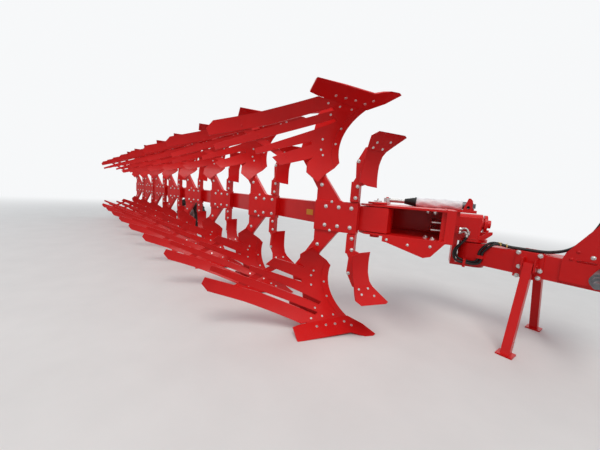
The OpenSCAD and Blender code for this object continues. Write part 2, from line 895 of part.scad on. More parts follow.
// Plates on both sides of the drawbar, each with two lugs for a stand's pin
module stand_clamps() {
    color(red)
        drawbar_frame()
            for (side = [-1, 1])
                mirror([0, side < 0 ? 1 : 0, 0])
                    difference() {
                        union() {
                            translate([340, drawbar_w / 2, 520])
                                cube([170, clamp_t, 200]);
                            for (s = [stand_s - stand_side / 2 - 4 - clamp_t, stand_s + stand_side / 2 + 4])
                                translate([s, drawbar_w / 2, stand_hinge_z - 50])
                                    cube([clamp_t, 75, 100]);
                        }
                        translate([0, stand_hinge_n, stand_hinge_z])
                            rod_x(stand_pin_r + pin_fit, 340, 520);
                    }
}

// One stand leg with its foot plate and hinge pin, for the drawbar's left side
module stand() {
    foot_z = -stand_hinge_z / cos(stand_lean);
    foot_side = 100;
    translate([stand_s, stand_hinge_n, stand_hinge_z])
        union() {
            intersection() {
                rotate([stand_lean, 0, 0])
                    translate([-stand_side / 2, -stand_side / 2, foot_z - 40])
                        cube([stand_side, stand_side, stand_head - foot_z + 40]);
                translate([-200, -200, 8 - stand_hinge_z])
                    cube([400, 1000, 1000]);
            }
            translate([-foot_side / 2, stand_hinge_z * tan(stand_lean) - foot_side / 2, -stand_hinge_z])
                cube([foot_side, foot_side, 10]);
            rod_x(stand_pin_r, -stand_side / 2 - 25, stand_side / 2 + 25);
        }
}

module stand_left() {
    color(red)
        drawbar_frame()
            stand();
}

module stand_right() {
    color(red)
        drawbar_frame()
            mirror([0, 1, 0])
                stand();
}

module drawbar_hose(route) {
    color(black)
        drawbar_frame()
            tube(route, hose_r);
}

module housing_hose(route) {
    color(black)
        tube(route, hose_r);
}

// The outrigger on the beam's far side that carries the depth wheel's arm
module wheel_bracket() {
    post = 110;
    color(red)
        difference() {
            union() {
                beam_frame()
                    translate([wheel_s - 130, beam_far_k, beam_bottom])
                        cube([260, 15, beam_side]);
                beam_frame()
                    translate([wheel_s - post / 2, beam_far_k + 5, mid_z - post / 2])
                        cube([post, wheel_post_reach, post]);
                translate([wheel_pivot[0], 0, mid_z])
                    rod_y(62, wheel_pivot[1] - 105, wheel_pivot[1] - 5);
            }
            translate([wheel_pivot[0], 0, mid_z])
                rod_y(wheel_pin_r + pin_fit, wheel_pivot[1] - 120, wheel_pivot[1]);
        }
}

module wheel_arm() {
    reach = [hub[0] - wheel_pivot[0], hub[2] - wheel_pivot[2]];
    color(red)
        translate(wheel_pivot)
            union() {
                side_plate(0, wheel_arm_t)
                    union() {
                        circle(r = 60);
                        translate(reach)
                            circle(r = 50);
                        rotate([0, 0, atan2(reach[1], reach[0])])
                            translate([0, -45])
                                square([norm(reach), 90]);
                    }
                rod_y(wheel_pin_r, -115, 10);
                translate([reach[0], 0, reach[1]])
                    rod_y(axle_r, 10, hub[1] - wheel_pivot[1] + 60);
            }
}

module wheel_rim() {
    color(pale)
        translate(hub)
            rotate([-90, 0, 0])
                rotate_extrude()
                    polygon([[axle_r + pin_fit, -70], [55, -70], [55, -10], [rim_r - 12, -10],
                        [rim_r - 12, -tyre_w / 2 + 20], [rim_r + 12, -tyre_w / 2 + 20],
                        [rim_r + 12, -tyre_w / 2 + 28], [rim_r, -tyre_w / 2 + 34],
                        [rim_r, tyre_w / 2 - 34], [rim_r + 12, tyre_w / 2 - 28],
                        [rim_r + 12, tyre_w / 2 - 20], [rim_r - 12, tyre_w / 2 - 20],
                        [rim_r - 12, 2], [55, 2], [55, 55], [axle_r + pin_fit, 55]]);
}

module wheel_tyre() {
    side = tyre_w / 2;
    color(black)
        translate(hub)
            rotate([-90, 0, 0])
                rotate_extrude()
                    polygon([[rim_r, -side + 40], [rim_r + 16, -side + 32], [rim_r + 50, -side],
                        [tyre_r - 50, -side], [tyre_r - 10, -side + 35], [tyre_r, 0],
                        [tyre_r - 10, side - 35], [tyre_r - 50, side], [rim_r + 50, side],
                        [rim_r + 16, side - 32], [rim_r, side - 40]]);
}

placed() beam();
placed() beam_head();
placed() leg_brackets();
placed() landsides();
for (n = [1 : body_count]) {
    placed() at_body(n) both() leg();
    placed() at_body(n) both() moldboard();
    placed() at_body(n) both() share();
    placed() at_body(n) skimmer_pair();
}
placed() wheel_bracket();
placed() wheel_arm();
placed() wheel_rim();
placed() wheel_tyre();
placed() head_frame();
placed() head_pipes();
placed() align_barrel();
placed() align_rod();
placed() turnover_housing();
placed() drawbar_beam();
placed() mast_plates();
placed() cross_shaft();
placed() stand_clamps();
placed() stand_right();
placed() stand_left();
placed() drawbar_hose(near_route);  // hose_near
placed() drawbar_hose(far_route);  // hose_far
placed() housing_hose(loop_near);  // hose_loop_near
placed() housing_hose(loop_far);  // hose_loop_far
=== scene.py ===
import math

import bmesh
import bpy
from mathutils import Matrix, Vector


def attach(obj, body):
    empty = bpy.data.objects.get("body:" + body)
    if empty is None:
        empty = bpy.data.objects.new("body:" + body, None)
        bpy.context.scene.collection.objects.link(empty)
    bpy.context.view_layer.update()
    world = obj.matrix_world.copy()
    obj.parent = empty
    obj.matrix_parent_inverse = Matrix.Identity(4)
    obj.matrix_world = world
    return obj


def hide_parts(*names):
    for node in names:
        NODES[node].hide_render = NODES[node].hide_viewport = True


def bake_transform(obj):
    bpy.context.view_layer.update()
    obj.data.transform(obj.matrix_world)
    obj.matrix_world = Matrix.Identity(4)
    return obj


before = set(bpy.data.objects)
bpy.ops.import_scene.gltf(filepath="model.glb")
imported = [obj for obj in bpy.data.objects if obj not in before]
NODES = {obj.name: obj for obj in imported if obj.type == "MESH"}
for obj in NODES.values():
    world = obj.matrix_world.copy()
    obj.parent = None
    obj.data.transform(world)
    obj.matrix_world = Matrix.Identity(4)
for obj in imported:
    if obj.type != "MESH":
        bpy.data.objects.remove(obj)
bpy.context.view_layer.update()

# The travel frame has x forward, y to the left and z up from the first share point, and all measures
# are in metres. The row frame, in which the CAD parts lie, has its axes along the same directions

FIRST_POINT = Vector((2.9825, -1.1804, 0.0))
BODY_COUNT = 8
BODY_PITCH = 1.0
FURROW = 0.39
ROW_ANGLE = math.asin(FURROW / BODY_PITCH)
MID_Z = 0.88
CUT_ANGLE = math.radians(42)
SHARE_SLOPE = math.radians(30)
BOARD_R = 0.42
BOARD_AXIS_Y = -0.138
BOARD_AXIS_Z = 0.39
SKIM_POINT = Vector((0.07, -0.1, 0.0))
SKIM_R = 0.37
SKIM_AXIS_Y = -0.26
SKIM_AXIS_Z = 0.57
STEER_PIN = Vector((0.63, 0.8, 0.0))
DRAWBAR_YAW = math.radians(26)

RIGHT = -1
LEFT = 1
UP = (0, 0, 1)
DOWN = (0, 0, -1)
FORWARD = (1, 0, 0)
BACKWARD = (-1, 0, 0)


# Camera, as solved from the like bodies in the row

CAMERA_AT = Vector((0.2914, -2.043, 1.0359))
CAMERA_YAW = math.radians(26.065)
CAMERA_DOWN = math.radians(6.746)
CAMERA_ROLL = math.radians(4.158)
FOCAL_PX = 272.0
PHOTO_W = 600.0
SENSOR_MM = 36.0
CLIP_START = 0.05
CLIP_END = 200.0


def make_camera():
    forward = Vector((-math.sin(CAMERA_YAW) * math.cos(CAMERA_DOWN),
                      math.cos(CAMERA_YAW) * math.cos(CAMERA_DOWN),
                      -math.sin(CAMERA_DOWN)))
    level_right = Vector((math.cos(CAMERA_YAW), math.sin(CAMERA_YAW), 0.0))
    level_up = level_right.cross(forward)
    right = level_right * math.cos(CAMERA_ROLL) + level_up * math.sin(CAMERA_ROLL)
    up = level_up * math.cos(CAMERA_ROLL) - level_right * math.sin(CAMERA_ROLL)
    data = bpy.data.cameras.new("camera")
    data.sensor_width = SENSOR_MM
    data.lens = FOCAL_PX / PHOTO_W * SENSOR_MM
    data.clip_start = CLIP_START
    data.clip_end = CLIP_END
    camera = bpy.data.objects.new("camera", data)
    turn = Matrix((right, up, -forward)).transposed().to_4x4()
    camera.matrix_world = Matrix.Translation(CAMERA_AT + FIRST_POINT) @ turn
    bpy.context.scene.collection.objects.link(camera)
    bpy.context.scene.camera = camera


# Frames of the plough's parts, as matrices into the row frame

def travel():
    return Matrix.Translation(FIRST_POINT)


def at_body(number):
    step = Vector((-BODY_PITCH * math.cos(ROW_ANGLE), FURROW, 0.0)) * (number - 1)
    return travel() @ Matrix.Translation(step)


def upper(matrix):
    """The same frame, mirrored above the middle line."""
    mirror = Matrix.Scale(-1, 4, UP)
    return Matrix.Translation((0, 0, MID_Z)) @ mirror @ Matrix.Translation((0, 0, -MID_Z)) @ matrix


def beam_frame():
    return travel() @ Matrix.Rotation(-ROW_ANGLE, 4, "Z")


def drawbar_frame():
    return travel() @ Matrix.Translation(STEER_PIN) @ Matrix.Rotation(-DRAWBAR_YAW, 4, "Z")


def cut_frame():
    return Matrix.Rotation(CUT_ANGLE, 4, "Z")


def facing(point, normal):
    """A frame at a point with its z axis along a normal."""
    turn = Vector(normal).to_track_quat("Z", "Y").to_matrix().to_4x4()
    return Matrix.Translation(Vector(point)) @ turn


def raised(matrix, height):
    return matrix @ Matrix.Translation((0, 0, height))


def behind(matrix, thickness):
    """The frame on the far face of a plate, z pointing away from it."""
    return raised(matrix, -thickness) @ Matrix.Rotation(math.pi, 4, "X")


def on_side(x, z, face_y, side=RIGHT):
    """A frame on an upright plate, z pointing to the right or to the left."""
    return facing((x, face_y, z), (0, side, 0))


def on_curve(along, height, radius, axis_y, axis_z):
    """A frame on a face curved about a level axis, z pointing away from the steel."""
    rise = height - axis_z
    depth = math.sqrt(radius ** 2 - rise ** 2)
    return facing((along, axis_y + depth, height), (0, -depth, -rise))


def on_board(along, height):
    return cut_frame() @ on_curve(along, height, BOARD_R, BOARD_AXIS_Y, BOARD_AXIS_Z)


def on_skimmer(along, height):
    face = on_curve(along, height, SKIM_R, SKIM_AXIS_Y, SKIM_AXIS_Z)
    return Matrix.Translation(SKIM_POINT) @ cut_frame() @ face


def on_share(along, up_slope):
    return cut_frame() @ Matrix.Rotation(SHARE_SLOPE, 4, "X") @ Matrix.Translation((along, up_slope, 0))


# Meshes

HEX_SIDES = 6
HEX_TURN = 0.3
SUNK = -0.002
WASHER_TOP = 0.0025


def from_bmesh(name, bm, material, smooth_angle=35.0):
    """An object from a mesh, shaded smooth up to an angle in degrees."""
    bm.normal_update()
    mesh = bpy.data.meshes.new(name)
    bm.to_mesh(mesh)
    bm.free()
    mesh.shade_smooth()
    mesh.set_sharp_from_angle(angle=math.radians(smooth_angle))
    mesh.materials.append(material)
    obj = bpy.data.objects.new(name, mesh)
    bpy.context.scene.collection.objects.link(obj)
    return obj


def ring_profile(bm, matrix, profile, sides, closed_top=True):
    """Turns a profile of (radius, height) about z, open at its bottom."""
    rings = []
    for radius, height in profile:
        ring = [bm.verts.new(matrix @ Vector((radius * math.cos(2 * math.pi * i / sides),
                                              radius * math.sin(2 * math.pi * i / sides), height)))
                for i in range(sides)]
        rings.append(ring)
    mirrored = matrix.to_3x3().determinant() < 0
    for low, high in zip(rings, rings[1:]):
        for i in range(sides):
            quad = [low[i], low[(i + 1) % sides], high[(i + 1) % sides], high[i]]
            bm.faces.new(quad[::-1] if mirrored else quad)
    if closed_top:
        bm.faces.new(rings[-1][::-1] if mirrored else rings[-1])


def dome_bolt(bm, matrix, radius, height):
    """A round-headed bolt on its washer."""
    washer = radius * 1.25
    profile = [(washer, SUNK), (washer, 0.0022), (radius, WASHER_TOP), (radius * 0.98, height * 0.35),
               (radius * 0.8, height * 0.75), (radius * 0.45, height)]
    ring_profile(bm, matrix, profile, 14)


def flush_bolt(bm, matrix, radius):
    """A plough bolt, sunk until its head is nearly level with the steel."""
    profile = [(radius, -0.003), (radius, 0.0008), (radius * 0.86, 0.0016), (radius * 0.5, 0.0012)]
    ring_profile(bm, matrix, profile, 14)


def hex_bolt(bm, matrix, radius, height):
    """A hexagon head or nut on a round washer, with the bolt's end standing out of it."""
    washer = [(radius * 1.3, SUNK), (radius * 1.3, WASHER_TOP), (radius, 0.003)]
    head = [(radius * 1.08, WASHER_TOP), (radius * 1.08, height * 0.85), (radius * 0.93, height)]
    stub = [(radius * 0.5, height * 0.8), (radius * 0.5, height * 1.5)]
    ring_profile(bm, matrix, washer, 16)
    ring_profile(bm, matrix @ Matrix.Rotation(HEX_TURN, 4, "Z"), head, HEX_SIDES)
    ring_profile(bm, matrix, stub, 10)


# Materials

BLACK = (0, 0, 0)
WHITE = (1, 1, 1)
DUST = (0.50, 0.34, 0.30)


def noise(nodes, links, coordinate, scale, detail=4.0, roughness=0.55):
    node = nodes.new("ShaderNodeTexNoise")
    node.inputs["Scale"].default_value = scale
    node.inputs["Detail"].default_value = detail
    node.inputs["Roughness"].default_value = roughness
    links.new(coordinate, node.inputs["Vector"])
    return node.outputs["Fac"]


def ramp(nodes, links, source, stops):
    node = nodes.new("ShaderNodeValToRGB")
    while len(node.color_ramp.elements) < len(stops):
        node.color_ramp.elements.new(0.5)
    for element, (place, colour) in zip(node.color_ramp.elements, stops):
        element.position = place
        element.color = (*colour, 1.0)
    links.new(source, node.inputs["Fac"])
    return node.outputs["Color"]


def map_range(nodes, links, source, low, high, source_low=0.0, source_high=1.0, steps="LINEAR"):
    node = nodes.new("ShaderNodeMapRange")
    node.interpolation_type = steps
    for name, value in (("From Min", source_low), ("From Max", source_high),
                        ("To Min", low), ("To Max", high)):
        node.inputs[name].default_value = value
    links.new(source, node.inputs["Value"])
    return node.outputs["Result"]


def combine(nodes, links, operation, first, second):
    node = nodes.new("ShaderNodeMath")
    node.operation = operation
    links.new(first, node.inputs[0])
    links.new(second, node.inputs[1])
    return node.outputs[0]


def mix_colour(nodes, links, factor, first, second):
    """Mixes two colours, each given as a socket or as plain values."""
    node = nodes.new("ShaderNodeMix")
    node.data_type = "RGBA"
    links.new(factor, node.inputs[0])
    for value, socket in ((first, node.inputs[6]), (second, node.inputs[7])):
        if isinstance(value, tuple):
            socket.default_value = (*value, 1.0)
        else:
            links.new(value, socket)
    return node.outputs[2]


def mix_shaders(nodes, links, factor, first, second, output):
    node = nodes.new("ShaderNodeMixShader")
    links.new(factor, node.inputs["Fac"])
    links.new(first, node.inputs[1])
    links.new(second, node.inputs[2])
    links.new(node.outputs["Shader"], nodes[output].inputs["Surface"])


def seen_straight(nodes, links):
    """One where the camera or a mirroring face looks, and zero for light that is only thrown back."""
    path = nodes.new("ShaderNodeLightPath")
    return combine(nodes, links, "MAXIMUM", path.outputs["Is Camera Ray"], path.outputs["Is Glossy Ray"])


def new_material(name, base, roughness, metallic=0.0, specular=0.5):
    material = bpy.data.materials.new(name)
    material.use_nodes = True
    shader = material.node_tree.nodes["Principled BSDF"]
    shader.inputs["Base Color"].default_value = (*base, 1.0)
    shader.inputs["Roughness"].default_value = roughness
    shader.inputs["Metallic"].default_value = metallic
    shader.inputs["Specular IOR Level"].default_value = specular
    material.diffuse_color = (*base, 1.0)
    return material, material.node_tree.nodes, material.node_tree.links, shader


def add_bump(nodes, links, shader, height, strength, distance, edge=None):
    bump = nodes.new("ShaderNodeBump")
    bump.inputs["Strength"].default_value = strength
    bump.inputs["Distance"].default_value = distance
    links.new(height, bump.inputs["Height"])
    if edge:
        bevel = nodes.new("ShaderNodeBevel")
        bevel.samples = 4
        bevel.inputs["Radius"].default_value = edge
        links.new(bevel.outputs["Normal"], bump.inputs["Normal"])
    links.new(bump.outputs["Normal"], shader.inputs["Normal"])


def paint(name, bright, deep, dust, gloss=0.28):
    """Sprayed gloss paint: cloudy tone, orange peel, dust where faces look up."""
    material, nodes, links, shader = new_material(name, bright, gloss, specular=0.24)
    place = nodes.new("ShaderNodeNewGeometry")
    position = place.outputs["Position"]
    cloud = noise(nodes, links, position, scale=2.2, detail=5.0)
    tone = ramp(nodes, links, cloud, [(0.3, deep), (0.7, bright)])
    specks = noise(nodes, links, position, scale=90.0, detail=6.0, roughness=0.7)
    speck_mask = ramp(nodes, links, specks, [(0.55, BLACK), (0.75, WHITE)])
    split = nodes.new("ShaderNodeSeparateXYZ")
    links.new(place.outputs["Normal"], split.inputs["Vector"])
    upward = map_range(nodes, links, split.outputs["Z"], 0.0, dust, source_low=0.2)
    settled = combine(nodes, links, "MULTIPLY", upward, speck_mask)
    colour = mix_colour(nodes, links, settled, tone, DUST)
    links.new(colour, shader.inputs["Base Color"])
    patches = noise(nodes, links, position, scale=7.0)
    rough = map_range(nodes, links, patches, gloss - 0.06, gloss + 0.14)
    links.new(rough, shader.inputs["Roughness"])
    shader.inputs["Coat Weight"].default_value = 0.05
    shader.inputs["Coat Roughness"].default_value = 0.15
    peel = noise(nodes, links, position, scale=260.0, detail=3.0)
    add_bump(nodes, links, shader, peel, strength=0.12, distance=0.001, edge=0.003)
    return material


def metal(name, light, dark, roughness):
    """Bare or plated steel with fine mottling."""
    material, nodes, links, shader = new_material(name, light, roughness, metallic=0.9)
    place = nodes.new("ShaderNodeNewGeometry")
    grain = noise(nodes, links, place.outputs["Position"], scale=60.0, detail=6.0, roughness=0.7)
    links.new(ramp(nodes, links, grain, [(0.3, dark), (0.7, light)]), shader.inputs["Base Color"])
    rough = map_range(nodes, links, grain, roughness - 0.08, roughness + 0.12)
    links.new(rough, shader.inputs["Roughness"])
    add_bump(nodes, links, shader, grain, strength=0.15, distance=0.0005, edge=0.0015)
    return material


def rubber(name, tone, dusty, roughness):
    """Black rubber with pale soil dust in its grain."""
    material, nodes, links, shader = new_material(name, tone, roughness, specular=0.3)
    place = nodes.new("ShaderNodeNewGeometry")
    grain = noise(nodes, links, place.outputs["Position"], scale=35.0, detail=8.0, roughness=0.7)
    links.new(ramp(nodes, links, grain, [(0.42, tone), (0.75, dusty)]), shader.inputs["Base Color"])
    fine = noise(nodes, links, place.outputs["Position"], scale=320.0)
    add_bump(nodes, links, shader, fine, strength=0.2, distance=0.0008)
    return material


def film(name):
    """Crumpled white wrapping film, with painted shade in the hollows of its folds."""
    material, nodes, links, shader = new_material(name, (0.93, 0.93, 0.93), 0.45, specular=0.35)
    place = nodes.new("ShaderNodeNewGeometry")
    folds = noise(nodes, links, place.outputs["Position"], scale=28.0, detail=5.0, roughness=0.6)
    # Painted shade: the film is greyer and slightly blue where its folds sink, on the same noise as the bump
    tone = ramp(nodes, links, folds, [(0.35, (0.80, 0.80, 0.83)), (0.6, (0.94, 0.94, 0.95))])
    links.new(tone, shader.inputs["Base Color"])
    shader.inputs["Coat Weight"].default_value = 0.15
    add_bump(nodes, links, shader, folds, strength=0.4, distance=0.004)
    return material


RED = paint("red_paint", (0.80, 0.010, 0.009), (0.64, 0.007, 0.008), dust=0.14)
# The red paint with painted shade: a darker copy of it for the landsides and the nuts on the land side
RED_SHADE = paint("red_paint_shaded", (0.60, 0.009, 0.010), (0.46, 0.006, 0.008), dust=0.1)
PLATED = metal("plated_steel", (0.72, 0.72, 0.70), (0.42, 0.42, 0.42), roughness=0.32)
DARK_STEEL = metal("dark_steel", (0.20, 0.20, 0.21), (0.10, 0.10, 0.11), roughness=0.45)
RUBBER = rubber("hose_rubber", (0.008, 0.008, 0.009), (0.028, 0.026, 0.024), roughness=0.45)
TYRE = rubber("tyre_rubber", (0.016, 0.016, 0.016), (0.09, 0.08, 0.07), roughness=0.7)
RIM_PAINT = paint("rim_paint", (0.62, 0.61, 0.58), (0.48, 0.47, 0.45), dust=0.2)
FILM = film("white_film")
LABEL = paint("label_yellow", (0.80, 0.36, 0.03), (0.70, 0.28, 0.02), dust=0.1, gloss=0.35)
TIE = paint("tie_yellow", (0.75, 0.60, 0.18), (0.66, 0.50, 0.12), dust=0.1, gloss=0.4)

NODE_MATERIALS = {
    "cross_shaft": DARK_STEEL, "align_rod": PLATED, "align_barrel": DARK_STEEL,
    "wheel_rim": RIM_PAINT, "wheel_tyre": TYRE, "landsides": RED_SHADE, "head_pipes": PLATED,
}


def dress_nodes():
    for name, node in NODES.items():
        node.data.materials.clear()
        node.data.materials.append(NODE_MATERIALS.get(name, RED))


# Bolts of a body, as (forward, height) on upright plates, (along the edge, height) on curved faces
# and (along the edge, up the slope) on the share. A bolt's size is its head's (radius, height)

CHEEK_FACE_Y = -0.12
CHEEK_BOLTS = [(x, MID_Z + side * 0.070) for x in (-0.443, -0.343, -0.247) for side in (-1, 1)]
CHEEK_BOLT_SIZE = (0.0115, 0.009)
CHEEK_SMALL_BOLTS = [(-0.400, MID_Z - 0.107), (-0.400, MID_Z + 0.107)]
CHEEK_SMALL_BOLT_SIZE = (0.008, 0.006)

LEG_FACE_Y = -0.108
LEG_FAR_Y = -0.068
LEG_BOLTS = [(-0.494, 0.651), (-0.552, 0.545)]
LEG_BOLT_SIZE = (0.011, 0.008)
LEG_NUT_SIZE = (0.0125, 0.013)

STEM_FACE_Y = -0.128
STEM_BOLTS = [(-0.223, 0.733), (-0.215, 0.652), (-0.224, 0.476)]
STEM_BOLT_SIZE = (0.0105, 0.008)

SHARE_T = 0.012
SHARE_BOLTS = [(-0.446, 0.111), (-0.371, 0.118), (-0.295, 0.123), (-0.214, 0.138), (-0.166, 0.101)]
SHARE_BOLT_R = 0.0100
SHARE_NUT_SIZE = (0.0110, 0.010)

BOARD_T = 0.010
BOARD_BOLTS = [(-0.432, 0.151), (-0.383, 0.100), (-0.475, 0.091), (-0.289, 0.105), (-0.324, 0.227),
               (-0.347, 0.337), (-0.442, 0.429), (-0.459, 0.391), (-0.455, 0.315)]
BOARD_BOLT_R = 0.0085
BOARD_NUT_SIZE = (0.0100, 0.010)

TIE_BACK = 0.018
TIE_BOLTS = [(-1.052, 0.296), (-0.934, 0.347), (-0.818, 0.415), (-0.726, 0.472)]
TIE_NUT_SIZE = (0.010, 0.010)

SKIM_T = 0.008
SKIM_SHARE_T = 0.006
SKIM_SHARE_BOLTS = [(-0.202, 0.392), (-0.130, 0.396), (-0.187, 0.360), (-0.092, 0.350)]
SKIM_NUT_SIZE = (0.0090, 0.009)

FROG_FAR_Y = -0.020
FROG_BOLTS = [(-0.615, 0.420), (-0.560, 0.330), (-0.500, 0.420)]
FROG_NUT_SIZE = (0.0125, 0.012)

LANDSIDE_FAR_Y = -0.006
LANDSIDE_BOLTS = [(-0.380, 0.050), (-0.520, 0.050), (-0.680, 0.050)]
LANDSIDE_BOLT_R = 0.0110


def body_bolts():
    plated, flush, painted = bmesh.new(), bmesh.new(), bmesh.new()
    for number in range(1, BODY_COUNT + 1):
        base = at_body(number)
        for x, z in CHEEK_BOLTS:
            dome_bolt(plated, base @ on_side(x, z, CHEEK_FACE_Y), *CHEEK_BOLT_SIZE)
        for x, z in CHEEK_SMALL_BOLTS:
            dome_bolt(plated, base @ on_side(x, z, CHEEK_FACE_Y), *CHEEK_SMALL_BOLT_SIZE)
        for half in (base, upper(base)):
            for along, slope in SHARE_BOLTS:
                flush_bolt(flush, half @ on_share(along, slope), SHARE_BOLT_R)
            for along, height in BOARD_BOLTS:
                flush_bolt(flush, half @ on_board(along, height), BOARD_BOLT_R)
            for along, height in SKIM_SHARE_BOLTS:
                face = raised(half @ on_skimmer(along, height), SKIM_SHARE_T)
                flush_bolt(flush, face, BOARD_BOLT_R)
            for along, height in TIE_BOLTS:
                flush_bolt(painted, half @ on_board(along, height), BOARD_BOLT_R)
                hex_bolt(painted, half @ behind(on_board(along, height), TIE_BACK), *TIE_NUT_SIZE)
            for x, z in LEG_BOLTS:
                dome_bolt(plated, half @ on_side(x, z, LEG_FACE_Y), *LEG_BOLT_SIZE)
            for x, z in STEM_BOLTS:
                dome_bolt(plated, half @ on_side(x, z, STEM_FACE_Y), *STEM_BOLT_SIZE)
    for name, bm, material, slot in (("cheek_bolts", plated, PLATED, "steel"),
                                     ("plough_bolts", flush, PLATED, "steel"),
                                     ("slat_bolts", painted, RED, "red")):
        piece = from_bmesh(name, bm, material)
        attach(piece, "plough_frame")


# The depth wheel's bracket on the beam, at s along the beam and k to its left

WHEEL_BRACKET_S = -4.67
WHEEL_BRACKET_K = 0.067
WHEEL_BRACKET_BOLTS = [(WHEEL_BRACKET_S + s, MID_Z + z) for s in (-0.102, 0.102) for z in (-0.064, 0.064)]
WHEEL_BRACKET_NUT_SIZE = (0.0150, 0.014)


def back_nuts():
    """Nuts and bolt ends on the land side, which the photograph doesn't show."""
    plated, painted = bmesh.new(), bmesh.new()
    for number in range(1, BODY_COUNT + 1):
        base = at_body(number)
        for half in (base, upper(base)):
            for x, z in LEG_BOLTS:
                hex_bolt(plated, half @ on_side(x, z, LEG_FAR_Y, LEFT), *LEG_NUT_SIZE)
            for x, z in FROG_BOLTS:
                hex_bolt(plated, half @ on_side(x, z, FROG_FAR_Y, LEFT), *FROG_NUT_SIZE)
            for x, z in LANDSIDE_BOLTS:
                flush_bolt(painted, half @ on_side(x, z, LANDSIDE_FAR_Y, LEFT), LANDSIDE_BOLT_R)
            for along, slope in SHARE_BOLTS:
                hex_bolt(painted, behind(half @ on_share(along, slope), SHARE_T), *SHARE_NUT_SIZE)
            for along, height in BOARD_BOLTS:
                hex_bolt(painted, behind(half @ on_board(along, height), BOARD_T), *BOARD_NUT_SIZE)
            for along, height in SKIM_SHARE_BOLTS:
                hex_bolt(painted, behind(half @ on_skimmer(along, height), SKIM_T), *SKIM_NUT_SIZE)
    for s, z in WHEEL_BRACKET_BOLTS:
        hex_bolt(plated, beam_frame() @ on_side(s, z, WHEEL_BRACKET_K, LEFT), *WHEEL_BRACKET_NUT_SIZE)
    # The painted nuts take the red paint with painted shade
    for name, bm, material, slot in (("back_nuts", plated, PLATED, "steel"),
                                     ("painted_nuts", painted, RED_SHADE, "dark")):
        piece = from_bmesh(name, bm, material)
        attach(piece, "plough_frame")


# Tubes along routes

ROUTE_STEPS = 5


def smooth_route(points):
    """Points on one smooth curve through the given ones."""
    ends = [points[0] * 2 - points[1]] + points + [points[-1] * 2 - points[-2]]
    route = []
    for i in range(1, len(ends) - 2):
        a, b, c, d = ends[i - 1:i + 3]
        for k in range(ROUTE_STEPS):
            t = k / ROUTE_STEPS
            route.append((b * 2 + (c - a) * t + (a * 2 - b * 5 + c * 4 - d) * t ** 2
                          + (b * 3 - a - c * 3 + d) * t ** 3) / 2)
    return route + [points[-1]]


def tube(bm, route, radius, sides, squeeze=(1.0, 1.0)):
    """A closed tube along a route. Its radius is a number, or a function of ring and turn."""
    rings = []
    side = None
    for i, point in enumerate(route):
        ahead = (route[min(i + 1, len(route) - 1)] - route[max(i - 1, 0)]).normalized()
        if side is None:
            side = ahead.orthogonal().normalized()
        side = (side - ahead * side.dot(ahead)).normalized()
        across = ahead.cross(side)
        ring = []
        for j in range(sides):
            turn = 2 * math.pi * j / sides
            reach = radius(i, turn) if callable(radius) else radius
            ring.append(bm.verts.new(point + side * (math.cos(turn) * reach * squeeze[0])
                                     + across * (math.sin(turn) * reach * squeeze[1])))
        rings.append(ring)
    for low, high in zip(rings, rings[1:]):
        for j in range(sides):
            bm.faces.new([low[j], low[(j + 1) % sides], high[(j + 1) % sides], high[j]])
    bm.faces.new(rings[0][::-1])
    bm.faces.new(rings[-1])


def along_line(start, end, count):
    start, end = Vector(start), Vector(end)
    return [start.lerp(end, i / (count - 1)) for i in range(count)]


# Hoses: their middle lines, each from the manifold on the turnover housing through the housing's clip
# (loop), across the steering pin to the drawbar's clip (bridge), and on to the mast's couplings (run).
# Loop and bridge are in the travel frame, the run is in the drawbar's

HOSE_R = 0.010
PIPE_R = 0.008
HOUSING_PIPE_POINTS_NEAR = 4
HOUSING_PIPE_POINTS_FAR = 5
MAST_PIPE_POINTS = 3
RELAX_ROUNDS = 8
LOOP_NEAR = [(0.500, 0.684, 0.795), (0.512, 0.684, 0.795), (0.530, 0.676, 0.801), (0.546, 0.666, 0.800),
             (0.556, 0.661, 0.787), (0.556, 0.659, 0.765), (0.548, 0.657, 0.738), (0.530, 0.655, 0.710),
             (0.506, 0.655, 0.682), (0.486, 0.655, 0.650), (0.478, 0.654, 0.615), (0.485, 0.654, 0.580),
             (0.503, 0.654, 0.555), (0.528, 0.654, 0.545), (0.555, 0.654, 0.545)]
BRIDGE_NEAR = [(0.575, 0.654, 0.545), (0.588, 0.6535, 0.544), (0.612, 0.649, 0.541), (0.641, 0.642, 0.545),
               (0.664, 0.638, 0.556), (0.679, 0.6355, 0.575)]
RUN_NEAR = [(0.120, -0.125, 0.600), (0.120, -0.125, 0.625), (0.120, -0.125, 0.640), (0.126, -0.125, 0.658),
            (0.138, -0.125, 0.677), (0.153, -0.124, 0.697), (0.170, -0.121, 0.718), (0.190, -0.110, 0.734),
            (0.215, -0.091, 0.737), (0.247, -0.072, 0.732), (0.290, -0.054, 0.725), (0.350, -0.038, 0.724),
            (0.420, -0.032, 0.723), (0.490, -0.032, 0.726), (0.550, -0.032, 0.740), (0.600, -0.032, 0.763),
            (0.645, -0.032, 0.801), (0.685, -0.033, 0.849), (0.715, -0.035, 0.905), (0.738, -0.037, 0.963),
            (0.756, -0.038, 1.022), (0.770, -0.039, 1.067), (0.783, -0.040, 1.098), (0.797, -0.040, 1.110),
            (0.810, -0.040, 1.110)]
LOOP_FAR = [(0.500, 0.686, 0.825), (0.512, 0.686, 0.825), (0.530, 0.685, 0.832), (0.547, 0.683, 0.833),
            (0.560, 0.682, 0.824), (0.568, 0.682, 0.806), (0.569, 0.682, 0.782), (0.562, 0.682, 0.754),
            (0.547, 0.682, 0.726), (0.527, 0.682, 0.698), (0.507, 0.682, 0.666), (0.497, 0.682, 0.638),
            (0.496, 0.681, 0.614), (0.504, 0.6805, 0.588), (0.525, 0.6795, 0.567), (0.555, 0.679, 0.560)]
BRIDGE_FAR = [(0.575, 0.6785, 0.559), (0.587, 0.6755, 0.557), (0.603, 0.6700, 0.556), (0.621, 0.6620, 0.557),
              (0.641, 0.6530, 0.563), (0.656, 0.6465, 0.578)]
